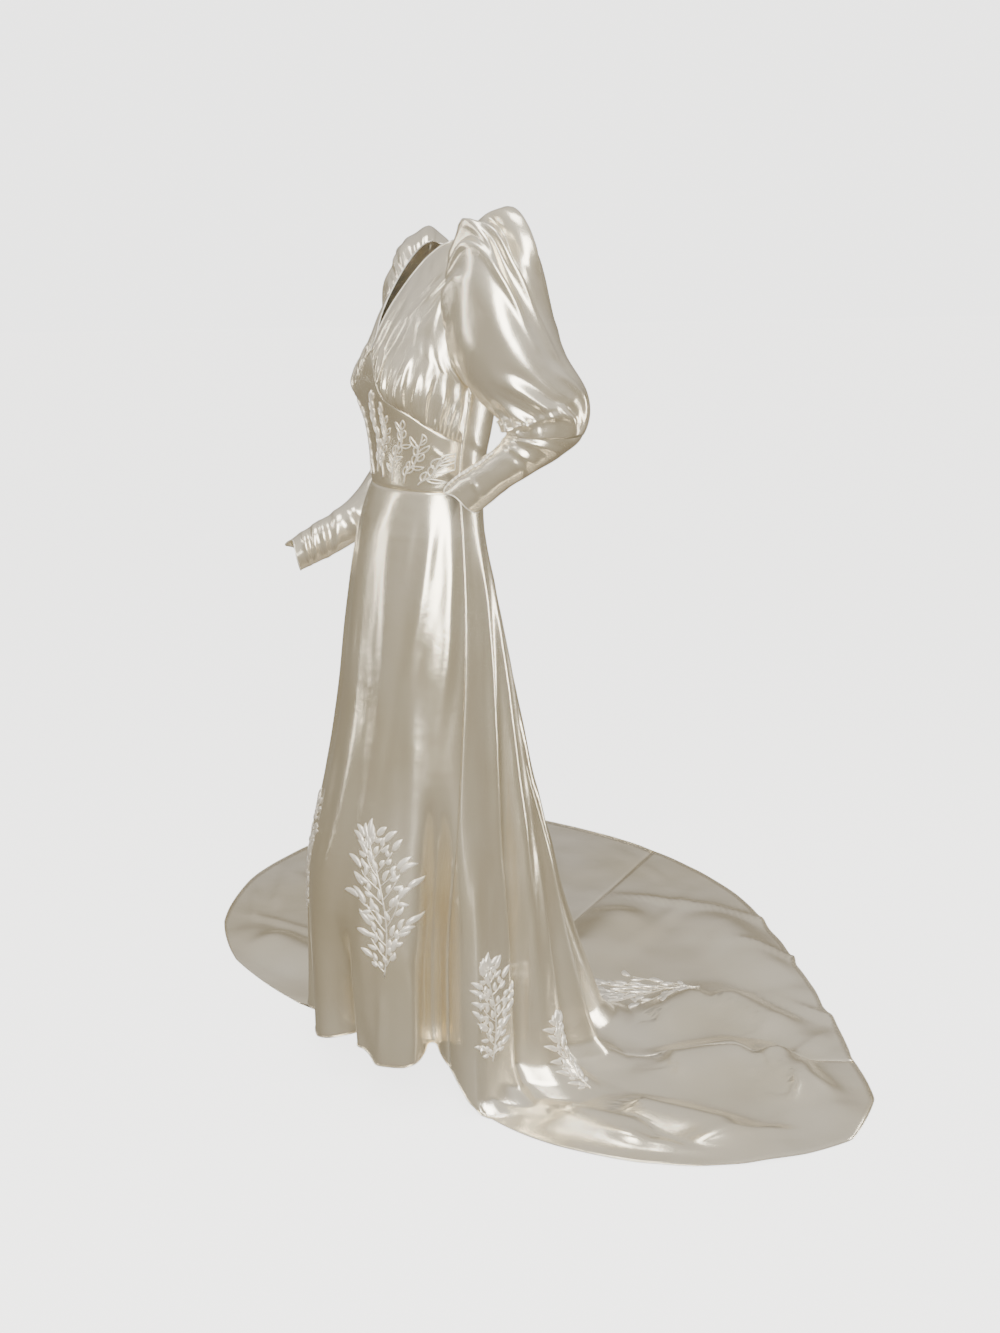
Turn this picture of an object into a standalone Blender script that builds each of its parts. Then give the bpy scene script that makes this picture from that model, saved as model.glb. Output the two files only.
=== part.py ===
# Satin wedding gown with leg-of-mutton sleeves and a swept train

import math

import bmesh
import bpy
import numpy as np
from mathutils import Vector

# Driving dimensions in metres and degrees. Front faces -Y, the wearer's left is +X, up is +Z.
# Heights are measured from the floor, and HOLD_HEIGHT takes them to the place where the gown is held.
HOLD_HEIGHT = 1.45
WALL = 0.0016
SEAM_GAP = 0.0003
WAIST_HEIGHT = 1.075
# Metres along the bodice for one degree of turn, which spaces the rows of an edge evenly.
TURN_SCALE = 0.0022
# Points for each span of a curve through a table.
CURVE_STEPS = 8

# Torso sections. Columns: height, half width at the side, depth in front, depth at the back, set back.
TORSO = (
    (1.075, 0.130, 0.087, 0.088, 0.000),
    (1.120, 0.133, 0.089, 0.093, 0.000),
    (1.160, 0.138, 0.093, 0.100, 0.000),
    (1.200, 0.144, 0.099, 0.107, 0.000),
    (1.240, 0.149, 0.105, 0.112, 0.000),
    (1.280, 0.152, 0.103, 0.114, 0.000),
    (1.320, 0.154, 0.092, 0.113, 0.002),
    (1.360, 0.154, 0.080, 0.108, 0.005),
    (1.400, 0.149, 0.064, 0.095, 0.010),
    (1.432, 0.139, 0.047, 0.076, 0.013),
    (1.456, 0.112, 0.031, 0.052, 0.015),
    (1.478, 0.066, 0.016, 0.026, 0.018),
)
BUST_TURN = 36.0
BUST_HEIGHT = 1.238
BUST_FULLNESS = 0.016
BUST_SPREAD_TURN = 22.0
BUST_SPREAD_HEIGHT = 0.045
# The wearer's right shoulder is drawn back by the pose: share of the sideways distance, the distance
# over which it starts, and the heights where it grows.
SHOULDER_SET_BACK = 0.42
SET_BACK_START = 0.035
SET_BACK_HEIGHTS = (1.16, 1.42)

# Edges of the bodice pieces on the torso. Columns: turn from centre front, height.
YOKE_TOP = (
    (0.0, 1.298), (7.0, 1.284), (16.0, 1.254), (30.0, 1.222), (45.0, 1.203),
    (60.0, 1.182), (78.0, 1.166), (94.5, 1.155),
)
SIDE_SEAM_LOW = ((93.0, 1.075), (94.5, 1.155))
SIDE_SEAM_HIGH = ((94.5, 1.155), (96.5, 1.200), (98.0, 1.243))
ARMHOLE_FRONT = (
    (98.0, 1.243), (90.0, 1.260), (80.0, 1.288), (73.5, 1.320), (71.5, 1.354),
    (75.0, 1.389), (82.0, 1.416), (89.4, 1.432),
)
ARMHOLE_BACK = (
    (98.0, 1.243), (107.0, 1.250), (116.0, 1.278), (119.0, 1.318), (116.0, 1.358),
    (108.0, 1.394), (98.0, 1.420), (90.6, 1.432),
)
SHOULDER_FRONT = ((89.4, 1.476), (89.4, 1.456), (89.4, 1.432))
SHOULDER_BACK = ((90.6, 1.432), (90.6, 1.456), (90.6, 1.476))
NECK_FRONT = (
    (0.0, 1.298), (0.0, 1.326), (8.0, 1.385), (18.0, 1.434),
    (29.0, 1.455), (49.0, 1.468), (89.4, 1.476),
)
BACK_NECK_HEIGHT = 1.462

BUST_COLUMNS = 21
BUST_ROWS = 9
ARMHOLE_ROWS_FRONT = 6
ARMHOLE_ROWS_BACK = 5
BUST_GATHERS = 7
BUST_GATHER_DEPTH = 0.0042
NECK_FOLDS = 3
NECK_FOLD_DEPTH = 0.0030
YOKE_COLUMNS = 42
YOKE_ROWS = 4
BACK_COLUMNS = 16
BACK_ROWS = 11
# Rough widths and lengths of the bodice panels, which turn a seam gap into a share of the panel.
BUST_WIDTH = 0.17
BUST_LENGTH = 0.15
YOKE_WIDTH = 0.21
YOKE_LENGTH = 0.10
BACK_WIDTH = 0.19
BACK_LENGTH = 0.36
SHOULDER_TRIM = 0.0006

# Sleeve rings. Columns: under side x, y, z, then outer side x, y, z, then half width front to back.
LEFT_SLEEVE = (
    (0.153, 0.030, 1.245, 0.139, 0.012, 1.432, 0.056),
    (0.163, 0.029, 1.242, 0.168, 0.014, 1.490, 0.063),
    (0.172, 0.030, 1.238, 0.212, 0.024, 1.516, 0.069),
    (0.181, 0.031, 1.232, 0.254, 0.036, 1.498, 0.072),
    (0.190, 0.032, 1.225, 0.280, 0.050, 1.442, 0.070),
    (0.200, 0.034, 1.217, 0.291, 0.074, 1.372, 0.067),
    (0.211, 0.037, 1.207, 0.297, 0.106, 1.305, 0.064),
    (0.222, 0.041, 1.196, 0.300, 0.145, 1.244, 0.061),
    (0.233, 0.043, 1.180, 0.287, 0.148, 1.180, 0.056),
    (0.225, 0.032, 1.160, 0.272, 0.119, 1.146, 0.048),
    (0.212, 0.016, 1.142, 0.252, 0.086, 1.122, 0.042),
    (0.195, 0.001, 1.126, 0.228, 0.054, 1.096, 0.037),
    (0.180, -0.010, 1.114, 0.207, 0.030, 1.070, 0.033),
    (0.167, -0.018, 1.102, 0.190, 0.012, 1.050, 0.030),
)
RIGHT_SLEEVE = (
    (-0.153, 0.049, 1.245, -0.139, 0.060, 1.432, 0.056),
    (-0.163, 0.051, 1.242, -0.166, 0.070, 1.482, 0.063),
    (-0.172, 0.054, 1.238, -0.204, 0.086, 1.500, 0.066),
    (-0.180, 0.059, 1.230, -0.244, 0.110, 1.478, 0.068),
    (-0.185, 0.062, 1.216, -0.272, 0.132, 1.418, 0.068),
    (-0.192, 0.065, 1.194, -0.287, 0.152, 1.342, 0.067),
    (-0.199, 0.061, 1.167, -0.295, 0.160, 1.262, 0.065),
    (-0.207, 0.049, 1.138, -0.297, 0.153, 1.182, 0.061),
    (-0.216, 0.030, 1.106, -0.292, 0.122, 1.098, 0.053),
    (-0.228, 0.006, 1.068, -0.285, 0.076, 1.034, 0.045),
    (-0.250, -0.030, 1.024, -0.276, 0.010, 0.965, 0.038),
    (-0.272, -0.074, 0.988, -0.276, -0.062, 0.918, 0.034),
    (-0.289, -0.114, 0.962, -0.288, -0.104, 0.895, 0.031),
    (-0.301, -0.146, 0.938, -0.299, -0.134, 0.880, 0.028),
)
SLEEVE_SEAM_RING = 8.0
SLEEVE_COLUMNS = 27
UPPER_SLEEVE_ROWS = 11
LOWER_SLEEVE_COLUMNS = 15
LOWER_SLEEVE_ROWS = 7
SLEEVE_GATHERS = 9
SLEEVE_GATHER_DEPTH = 0.0055
SLEEVE_GATHER_RINGS = 3.2
SLEEVE_SEAM_RINGS = 0.006
# Rows of an upper sleeve crowd towards its head: 0 spaces them evenly.
SLEEVE_CROWDING = 0.38
# The cuff runs to a point over the back of the hand.
CUFF_POINT = 0.020
CUFF_POINT_TURN = 215.0
CUFF_POINT_SPREAD = 32.0
CUFF_POINT_RINGS = 1.6

# The sleeve starts inside the armhole edge and a little outside the bodice wall.
ARMHOLE_INSET = 0.0022
ARMHOLE_OUT = {1.0: np.array([1.0, 0.0, 0.0]), -1.0: np.array([-0.99, -0.12, 0.0])}

# Large folds of the sleeves. Columns: ring, angle round the sleeve, ring spread, angle spread, depth.
LEFT_SLEEVE_FOLDS = (
    (2.6, 62.0, 0.9, 17.0, -0.034),
    (3.2, 92.0, 1.0, 15.0, 0.010),
    (4.4, 38.0, 1.2, 11.0, 0.008),
    (4.8, 300.0, 1.6, 16.0, 0.006),
    (6.2, 228.0, 0.8, 20.0, -0.008),
    (7.2, 200.0, 0.5, 30.0, 0.007),
    (7.6, 20.0, 0.6, 22.0, 0.007),
)
RIGHT_SLEEVE_FOLDS = (
    (2.6, 70.0, 0.9, 17.0, -0.016),
    (4.4, 322.0, 1.3, 15.0, 0.008),
    (5.6, 40.0, 1.2, 18.0, 0.007),
    (6.6, 200.0, 0.7, 26.0, 0.006),
)

# Skirt sections. Columns: height, then the reach from the axis in front, left, back and right.
SKIRT = (
    (1.075, 0.087, 0.130, 0.088, 0.130),
    (1.040, 0.101, 0.136, 0.086, 0.136),
    (1.000, 0.113, 0.144, 0.086, 0.142),
    (0.900, 0.126, 0.160, 0.107, 0.160),
    (0.800, 0.135, 0.170, 0.130, 0.180),
    (0.700, 0.145, 0.176, 0.154, 0.200),
    (0.600, 0.163, 0.182, 0.178, 0.212),
    (0.500, 0.184, 0.188, 0.204, 0.222),
    (0.400, 0.206, 0.196, 0.230, 0.230),
    (0.300, 0.209, 0.204, 0.252, 0.240),
    (0.200, 0.205, 0.212, 0.285, 0.255),
    (0.100, 0.202, 0.220, 0.325, 0.275),
    (0.000, 0.200, 0.226, 0.360, 0.295),
)
# Hanging folds. Columns: angle, angle spread, depth at the hem, height of the start, height where full.
SKIRT_FOLDS = (
    (-100.0, 9.0, 0.028, 0.80, 0.30),
    (-82.0, 8.0, -0.026, 0.75, 0.25),
    (-70.0, 9.0, 0.034, 0.98, 0.62),
    (-57.0, 6.0, -0.030, 0.70, 0.20),
    (-36.0, 14.0, 0.008, 0.62, 0.20),
    (-19.0, 6.0, -0.034, 0.40, 0.10),
    (0.0, 9.0, 0.010, 0.60, 0.20),
    (20.0, 7.5, -0.066, 0.36, 0.10),
    (37.0, 5.5, -0.012, 0.18, 0.07),
    (53.0, 14.0, 0.008, 0.60, 0.15),
    (74.0, 8.0, -0.086, 0.62, 0.28),
    (98.0, 14.0, 0.014, 0.80, 0.20),
    (116.5, 5.5, -0.034, 0.95, 0.20),
    (129.0, 11.0, 0.014, 0.85, 0.20),
    (142.0, 5.5, -0.030, 0.85, 0.20),
    (150.0, 7.0, 0.014, 0.80, 0.20),
    (163.0, 7.5, -0.034, 0.90, 0.25),
    (181.0, 8.0, 0.020, 0.80, 0.25),
    (199.0, 8.0, -0.036, 0.90, 0.25),
    (218.0, 9.0, 0.018, 0.80, 0.25),
    (238.0, 8.0, -0.034, 0.85, 0.25),
)
# Hem of the skirt round the body. Columns: angle, reach on the floor, height of the hem above it.
HEM = (
    (-62.0, 0.33, 0.000),
    (-58.0, 0.24, 0.060),
    (-50.0, 0.18, 0.078),
    (-30.0, 0.18, 0.086),
    (-12.0, 0.18, 0.090),
    (0.0, 0.18, 0.080),
    (20.0, 0.18, 0.100),
    (34.0, 0.18, 0.100),
    (44.0, 0.18, 0.084),
    (58.0, 0.18, 0.090),
    (66.0, 0.18, 0.100),
    (76.0, 0.18, 0.090),
    (82.0, 0.18, 0.066),
    (87.0, 0.20, 0.024),
    (92.0, 0.24, 0.000),
    (97.0, 0.32, 0.000),
    (102.0, 0.39, 0.000),
    (108.0, 0.47, 0.000),
    (117.0, 0.59, 0.000),
    (126.0, 0.69, 0.000),
    (135.0, 0.78, 0.000),
    (146.0, 0.81, 0.000),
    (157.0, 0.79, 0.000),
    (172.0, 0.81, 0.000),
    (184.0, 0.86, 0.000),
    (195.0, 0.95, 0.000),
    (205.0, 1.06, 0.000),
    (219.0, 1.20, 0.000),
    (228.0, 1.28, 0.000),
    (236.0, 1.34, 0.000),
    (250.0, 1.30, 0.000),
    (262.0, 1.16, 0.000),
    (272.0, 1.00, 0.000),
    (284.0, 0.77, 0.000),
    (292.0, 0.58, 0.000),
    (298.0, 0.33, 0.000),
    (302.0, 0.24, 0.060),
)
# Round the back the skirt bends onto the floor: height of the bend, angle of its middle, half of the angle
# that it takes in, and the angle over which it fades.
FLOOR_BEND = 0.10
BEND_MIDDLE = 190.0
BEND_HALF_ANGLE = 104.0
BEND_FADE_ANGLE = 34.0
BEND_REACH = 1.1
FOLD_POWER = 2.5
DROP_STEPS = 44
# Ridges of the train. Columns: angle and reach at both ends, half width, height.
TRAIN_RIDGES = (
    (110.0, 0.30, 119.0, 0.50, 0.045, 0.030),
    (125.0, 0.38, 128.0, 0.64, 0.050, 0.034),
    (147.0, 0.42, 158.0, 0.62, 0.055, 0.032),
    (158.0, 0.62, 142.0, 0.72, 0.050, 0.036),
    (172.0, 0.43, 181.0, 0.62, 0.050, 0.028),
    (181.0, 0.62, 163.0, 0.70, 0.052, 0.030),
    (205.0, 0.92, 178.0, 0.78, 0.060, 0.024),
    (209.0, 0.50, 214.0, 0.84, 0.065, 0.024),
    (232.0, 0.48, 238.0, 0.90, 0.075, 0.022),
    (256.0, 0.46, 262.0, 0.84, 0.070, 0.020),
    (277.0, 0.42, 282.0, 0.66, 0.050, 0.020),
)

# Skirt panels. Columns: node, start angle at waist and hem, end angle at waist and hem, columns.
SKIRT_PANELS = (
    ("skirt_front", -93.0, -62.0, 93.0, 81.0, 40),
    ("skirt_side_back_left", 93.0, 81.0, 140.0, 156.0, 19),
    ("skirt_back_left", 140.0, 156.0, 180.0, 220.0, 15),
    ("skirt_back_right", 180.0, 220.0, 220.0, 250.0, 9),
    ("skirt_side_back_right", 220.0, 250.0, 267.0, 298.0, 14),
)
SKIRT_ROWS = 19
SKIRT_FIRST_ANGLE = -62.0
# Share of a panel over which its sides swing from their waist angles to their hem angles.
PANEL_SWING = 0.85
# More rows lie in the part of a panel that hangs: its length past the waist height, and the power of shares.
HANG_ALLOWANCE = 0.07
ROW_POWER = 0.6

# Raised leaf sprays. Columns: node, panel, angle and way down at the foot, lean of the stem in degrees,
# length of the spray, length of its longest leaf, width of a leaf, pairs of leaves, lift off the panel.
SPRAYS = (
    ("spray_front_left", "skirt_front", 48.5, 0.800, -6.0, 0.225, 0.060, 0.0170, 4, 0.0013),
    ("spray_front_right", "skirt_front", -35.0, 0.800, 6.0, 0.215, 0.054, 0.0165, 4, 0.0013),
    ("spray_side_back_left", "skirt_side_back_left", 97.0, 0.985, 0.0, 0.180, 0.050, 0.0140, 4, 0.0013),
    ("spray_back_left", "skirt_side_back_left", 131.0, 1.105, 0.0, 0.150, 0.036, 0.0120, 4, 0.0031),
    ("spray_train", "skirt_back_left", 185.0, 1.345, 34.0, 0.175, 0.060, 0.0130, 4, 0.0013),
)
YOKE_SPRAY_STEM = (1.098, 1.272)
YOKE_SPRAY_RADIUS = 0.14
YOKE_SPRAY_PAIRS = 4
YOKE_LEAF_LENGTH = 0.044
YOKE_LEAF_WIDTH = 0.0125
YOKE_TRIM_LIFT = 0.0009
LEAF_RIM = 0.0010
LEAF_RISE = 0.0026
# Outline of a leaf. Columns: share of its length, half width as a share of its width.
LEAF_OUTLINE = ((0.40, 0.44), (0.72, 0.40))
# Leaves shrink away from the fullest pair, the second of a pair is smaller, and they lean less near the tip.
FULLEST_PAIR = 0.45
LEAF_SHRINK = 0.32
SECOND_LEAF_SHRINK = 0.15
LEAF_LEAN = 54.0
LEAF_LEAN_LOSS = 14.0
STEM_HALF_WIDTH = 0.0022
STEM_SHARE = 0.70
STEM_TAPER = 0.25
TIP_LEAF_MIDDLE = 0.45
TIP_LEAF_REACH = 0.85
TIP_LEAF_HALF_WIDTH = 0.42

BUTTONS_PER_SLEEVE = 12
BUTTON_RADIUS = 0.0042
BUTTON_HEIGHT = 0.0034
BUTTON_SIDES = 6
BUTTON_LIFT = 0.0009
# Rims of a button under its top. Columns: share of the radius, share of the height.
BUTTON_RIMS = ((0.62, 0.0), (1.0, 0.35), (0.62, 0.85))
BUTTON_FIRST_RING = 9.6
BUTTON_LAST_RING = 12.75
BUTTON_TURN_LEFT = 205.0
BUTTON_TURN_RIGHT = 330.0

SATIN_COLOUR = (0.80, 0.755, 0.675, 1.0)
SATIN_ROUGHNESS = 0.32


def clear_scene():
    for item in list(bpy.data.objects):
        bpy.data.objects.remove(item, do_unlink=True)


def make_material(name, colour, roughness):
    material = bpy.data.materials.new(name)
    material.use_nodes = True
    shader = material.node_tree.nodes["Principled BSDF"]
    shader.inputs["Base Color"].default_value = colour
    shader.inputs["Roughness"].default_value = roughness
    shader.inputs["Metallic"].default_value = 0.0
    return material


def smooth_step(value):
    value = min(1.0, max(0.0, value))
    return value * value * (3.0 - 2.0 * value)


def lerp(first, last, part):
    return first + (last - first) * part


def smooth_row(rows, key):
    """Row of a table at a key between its rows, along a smooth curve."""
    count = len(rows)
    order = rows if rows[-1][0] > rows[0][0] else rows[::-1]
    key = min(order[-1][0], max(order[0][0], key))
    place = 0
    while place < count - 2 and key > order[place + 1][0]:
        place += 1
    low = np.array(order[place][1:], dtype=float)
    high = np.array(order[place + 1][1:], dtype=float)
    span = order[place + 1][0] - order[place][0]
    step = (high - low) / span
    if place > 0:
        before = np.array(order[place - 1][1:], dtype=float)
        low_slope = (high - before) / (order[place + 1][0] - order[place - 1][0])
    else:
        low_slope = step
    if place < count - 2:
        after = np.array(order[place + 2][1:], dtype=float)
        high_slope = (after - low) / (order[place + 2][0] - order[place][0])
    else:
        high_slope = step
    part = (key - order[place][0]) / span
    return (
        low * (2 * part ** 3 - 3 * part ** 2 + 1)
        + high * (3 * part ** 2 - 2 * part ** 3)
        + low_slope * span * (part ** 3 - 2 * part ** 2 + part)
        + high_slope * span * (part ** 3 - part ** 2)
    )


def straight_row(rows, key):
    """Row of a table at a key between its rows, along straight lines."""
    keys = [row[0] for row in rows]
    return np.array([np.interp(key, keys, [row[i] for row in rows]) for i in range(1, len(rows[0]))])


def smooth_line(points):
    """Close line of points along a smooth curve through a few (turn, height) points."""
    rows = [(float(i),) + point for i, point in enumerate(points)]
    count = CURVE_STEPS * (len(points) - 1)
    return [tuple(smooth_row(rows, i / CURVE_STEPS)) for i in range(count + 1)]


def edge(*parts):
    """Edge of a panel from curves that follow each other, each up to its share of the rows."""
    return tuple((share, np.array(smooth_line(points))) for share, points in parts)


def along(line, part):
    """Point of an edge at a share of its rows."""
    start = 0.0
    for share, points in line:
        if part <= share or share == line[-1][0]:
            steps = np.linalg.norm(np.diff(points * np.array([TURN_SCALE, 1.0]), axis=0), axis=1)
            reach = np.concatenate(([0.0], np.cumsum(steps)))
            spot = (part - start) / (share - start) * reach[-1]
            return np.array([np.interp(spot, reach, points[:, 0]), np.interp(spot, reach, points[:, 1])])
        start = share
    return None


def torso_point(turn, height):
    """Inner face of the bodice at a turn from centre front and a height."""
    side, front, back, shift = smooth_row(TORSO, height)
    angle = math.radians(turn)
    depth = front if math.cos(angle) > 0.0 else back
    point = np.array([side * math.sin(angle), -depth * math.cos(angle) + shift, height])
    for centre in (-BUST_TURN, BUST_TURN):
        swell = BUST_FULLNESS * math.exp(
            -((turn - centre) / BUST_SPREAD_TURN) ** 2
            - ((height - BUST_HEIGHT) / BUST_SPREAD_HEIGHT) ** 2
        )
        point[1] -= swell
        point[0] += 0.25 * swell * math.copysign(1.0, centre)
    low, high = SET_BACK_HEIGHTS
    if point[0] < 0.0:
        drawn = point[0] ** 2 / (SET_BACK_START - point[0])
        point[1] += SHOULDER_SET_BACK * drawn * smooth_step((height - low) / (high - low))
    return point


def torso_normal(turn, height):
    step_turn = torso_point(turn + 0.5, height) - torso_point(turn - 0.5, height)
    step_up = torso_point(turn, height + 0.002) - torso_point(turn, height - 0.002)
    normal = np.cross(step_turn, step_up)
    return normal / np.linalg.norm(normal)


def coons(bottom, top, start, end, across, up):
    """Point of a four-sided area in (turn, height) from its four edges."""
    low = along(bottom, across)
    high = along(top, across)
    left = along(start, up)
    right = along(end, up)
    corners = (
        (1 - across) * (1 - up) * along(bottom, 0.0)
        + across * (1 - up) * along(bottom, 1.0)
        + (1 - across) * up * along(top, 0.0)
        + across * up * along(top, 1.0)
    )
    return (1 - up) * low + up * high + (1 - across) * left + across * right - corners


BUST_EDGES = (
    edge((1.0, YOKE_TOP)),
    edge((1.0, SHOULDER_FRONT)),
    edge((1.0 / BUST_ROWS, NECK_FRONT[:2]), (1.0, NECK_FRONT[1:])),
    edge((3.0 / BUST_ROWS, SIDE_SEAM_HIGH), (1.0, ARMHOLE_FRONT)),
)
YOKE_EDGES = (
    edge((1.0, ((0.0, WAIST_HEIGHT), (93.0, WAIST_HEIGHT)))),
    edge((1.0, YOKE_TOP)),
    edge((1.0, ((0.0, WAIST_HEIGHT), (0.0, 1.298)))),
    edge((1.0, SIDE_SEAM_LOW)),
)
BACK_SIDE = edge(
    (2.0 / BACK_ROWS, SIDE_SEAM_LOW),
    (4.0 / BACK_ROWS, SIDE_SEAM_HIGH),
    (9.0 / BACK_ROWS, ARMHOLE_BACK),
    (1.0, SHOULDER_BACK),
)
ARMHOLE_LINES = (edge((1.0, ARMHOLE_FRONT)), edge((1.0, ARMHOLE_BACK)))


def bust_area(across, up):
    """Turn and height on the left bust panel, from centre front to the side."""
    return coons(*BUST_EDGES, across, up)


def bust_folds(across, up):
    """Height of the gathers above the yoke and of the folds below the shoulder."""
    gathers = 0.5 - 0.5 * math.cos(2.0 * math.pi * BUST_GATHERS * across)
    low = gathers * BUST_GATHER_DEPTH
    low = low * smooth_step(up / 0.07) * (1.0 - smooth_step((up - 0.12) / 0.42))
    folds = 0.5 - 0.5 * math.cos(2.0 * math.pi * NECK_FOLDS * min(1.0, across / 0.75))
    high = folds * NECK_FOLD_DEPTH
    high = high * smooth_step((up - 0.45) / 0.25) * (1.0 - smooth_step((up - 0.93) / 0.07))
    inside = smooth_step(min(across, 1.0 - across) / 0.04)
    return (low + high) * inside


def yoke_area(across, up):
    """Turn and height on the left half of the midriff yoke."""
    return coons(*YOKE_EDGES, across, up)


def back_area(across, up):
    """Turn and height on the left half of the back, from the side to centre back."""
    turn, height = along(BACK_SIDE, up)
    share = (height - WAIST_HEIGHT) / (SHOULDER_BACK[-1][1] - WAIST_HEIGHT)
    middle = WAIST_HEIGHT + share * (BACK_NECK_HEIGHT - WAIST_HEIGHT)
    return lerp(turn, 180.0, across), lerp(height, middle, smooth_step(across))


def wrapped(angle):
    """The same angle counted from the seam where the train ends on the wearer's right."""
    return (angle - SKIRT_FIRST_ANGLE) % 360.0 + SKIRT_FIRST_ANGLE


def hem_of(angle):
    """Reach and height of the hem at an angle from centre front."""
    return straight_row(HEM, wrapped(angle))


def floor_spot(angle, reach):
    """Point on the floor at an angle from centre front and a reach from the axis."""
    turn = math.radians(angle)
    return reach * np.array([math.sin(turn), -math.cos(turn)])


def fold_offset(angle, height):
    """How far the hanging folds carry the skirt out or in."""
    total = 0.0
    for centre, spread, depth, start, full in SKIRT_FOLDS:
        away = (angle - centre + 180.0) % 360.0 - 180.0
        if abs(away) < 3.2 * spread:
            grown = smooth_step((start - height) / (start - full))
            total += depth * math.exp(-abs(away / spread) ** FOLD_POWER) * grown
    return total


def hanging_reach(angle, height):
    """Distance of the hanging skirt from the axis."""
    front, left, back, right = smooth_row(SKIRT, height)
    turn = math.radians(angle)
    side = left if math.sin(turn) > 0.0 else right
    depth = front if math.cos(turn) > 0.0 else back
    oval = side * depth / math.hypot(depth * math.sin(turn), side * math.cos(turn))
    return oval + fold_offset(angle, height)


def train_height(x, y):
    """Height of the train over the floor, flat between its ridges."""
    total = 0.0
    for start_angle, start_reach, end_angle, end_reach, width, height in TRAIN_RIDGES:
        first = floor_spot(start_angle, start_reach)
        last = floor_spot(end_angle, end_reach)
        way = last - first
        place = float(np.dot(np.array([x, y]) - first, way) / np.dot(way, way))
        inside = min(1.0, max(0.0, place))
        away = math.hypot(*(np.array([x, y]) - first - inside * way)) / width
        if away < 2.0:
            bump = (0.5 + 0.5 * math.cos(math.pi * away / 2.0)) ** 1.5
            ends = 0.35 + 0.65 * smooth_step(min(inside, 1.0 - inside) / 0.25)
            total = max(total, height * bump * ends)
    return total


def meridian(angle):
    """Line down the skirt at one angle: arrays of way, reach and height, and the whole way to the hem."""
    heights = WAIST_HEIGHT * (1.0 - np.linspace(0.0, 1.0, DROP_STEPS + 1))
    reaches = np.array([hanging_reach(angle, h) for h in heights])
    reach_end, hem_height = hem_of(angle)
    bend = FLOOR_BEND * smooth_step((BEND_HALF_ANGLE - abs(angle - BEND_MIDDLE)) / BEND_FADE_ANGLE)
    if bend > 0.004:
        lifted = []
        moved = []
        for reach, height in zip(reaches, heights):
            if height < bend:
                part = (bend - height) / bend
                lifted.append(bend * (1.0 - part) ** 2)
                moved.append(reach + bend * BEND_REACH * part ** 2)
            else:
                lifted.append(height)
                moved.append(reach)
        heights = np.array(lifted)
        reaches = np.array(moved)
    steps = np.hypot(np.diff(reaches), np.diff(heights))
    way = np.concatenate(([0.0], np.cumsum(steps)))
    if hem_height > 0.0:
        total = float(np.interp(-hem_height, -heights, way))
    else:
        total = float(way[-1] + max(0.01, reach_end - reaches[-1]))
    return way, reaches, heights, total


MERIDIANS = {}


def meridian_at(angle):
    key = round((angle + 360.0) % 360.0, 4)
    if key not in MERIDIANS:
        MERIDIANS[key] = meridian(wrapped(key))
    return MERIDIANS[key]


def way_down(angle, down):
    """Way along the line at a share (0 to 1) of the panel, with more rows in the part that hangs."""
    total = meridian_at(angle)[3]
    hang = WAIST_HEIGHT + HANG_ALLOWANCE
    if total <= hang:
        return down * total
    turn = (hang / total) ** ROW_POWER
    if down < turn:
        return hang * down / turn
    return hang + (total - hang) * (down - turn) / (1.0 - turn)


def share_down(angle, way):
    """Share of the panel at a way down, the reverse of way_down."""
    total = meridian_at(angle)[3]
    hang = WAIST_HEIGHT + HANG_ALLOWANCE
    if total <= hang:
        return way / total
    turn = (hang / total) ** ROW_POWER
    if way < hang:
        return turn * way / hang
    return turn + (1.0 - turn) * (way - hang) / (total - hang)


def skirt_point(angle, way):
    """Inner face of the skirt at an angle and a way down from the waist."""
    ways, reaches, heights, _ = meridian_at(angle)
    if way <= ways[-1]:
        reach = float(np.interp(way, ways, reaches))
        height = float(np.interp(way, ways, heights))
    else:
        reach = float(reaches[-1] + way - ways[-1])
        height = 0.0
    turn = math.radians(angle)
    x = reach * math.sin(turn)
    y = -reach * math.cos(turn)
    if heights[-1] == 0.0 and way > ways[-1] - 0.10:
        near = smooth_step((way - ways[-1] + 0.10) / 0.14)
        height = max(height, near * train_height(x, y) + height * 0.5)
    return np.array([x, y, height])


def skirt_normal(angle, way):
    total = meridian_at(angle)[3]
    low = max(0.0, way - 0.006)
    high = min(total + 0.01, way + 0.006)
    across = skirt_point(angle + 0.4, way) - skirt_point(angle - 0.4, way)
    down = skirt_point(angle, high) - skirt_point(angle, low)
    normal = np.cross(down, across)
    return normal / np.linalg.norm(normal)


def panel_angle(panel, across, down):
    _, start_waist, start_hem, end_waist, end_hem, _ = panel
    swing = smooth_step(down / PANEL_SWING)
    start = lerp(start_waist, start_hem, swing)
    end = lerp(end_waist, end_hem, swing)
    return lerp(start, end, across)


def seam_trim(panel, down, side):
    """Share of the width of a panel that leaves half a seam gap at one side."""
    angle = panel_angle(panel, side, down)
    start = panel_angle(panel, 0.0, down)
    end = panel_angle(panel, 1.0, down)
    way = way_down(angle, down)
    reach = np.linalg.norm(skirt_point(angle, way)[:2])
    slope = abs(reach - np.linalg.norm(skirt_point(angle + 0.5, way)[:2])) / 0.5
    degree = math.hypot(reach * math.pi / 180.0, slope)
    lean = abs(panel_angle(panel, side, down + 0.01) - angle) * reach * math.pi / 180.0
    lean = lean / max(1e-6, abs(way_down(angle, down + 0.01) - way))
    return 0.5 * SEAM_GAP * math.hypot(1.0, lean) / degree / (end - start)


def splits_forward(a, b, c, d):
    """True where the shorter diagonal of a cell runs from its first corner."""
    return np.linalg.norm(a - c) <= np.linalg.norm(b - d) * 1.0001


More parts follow.
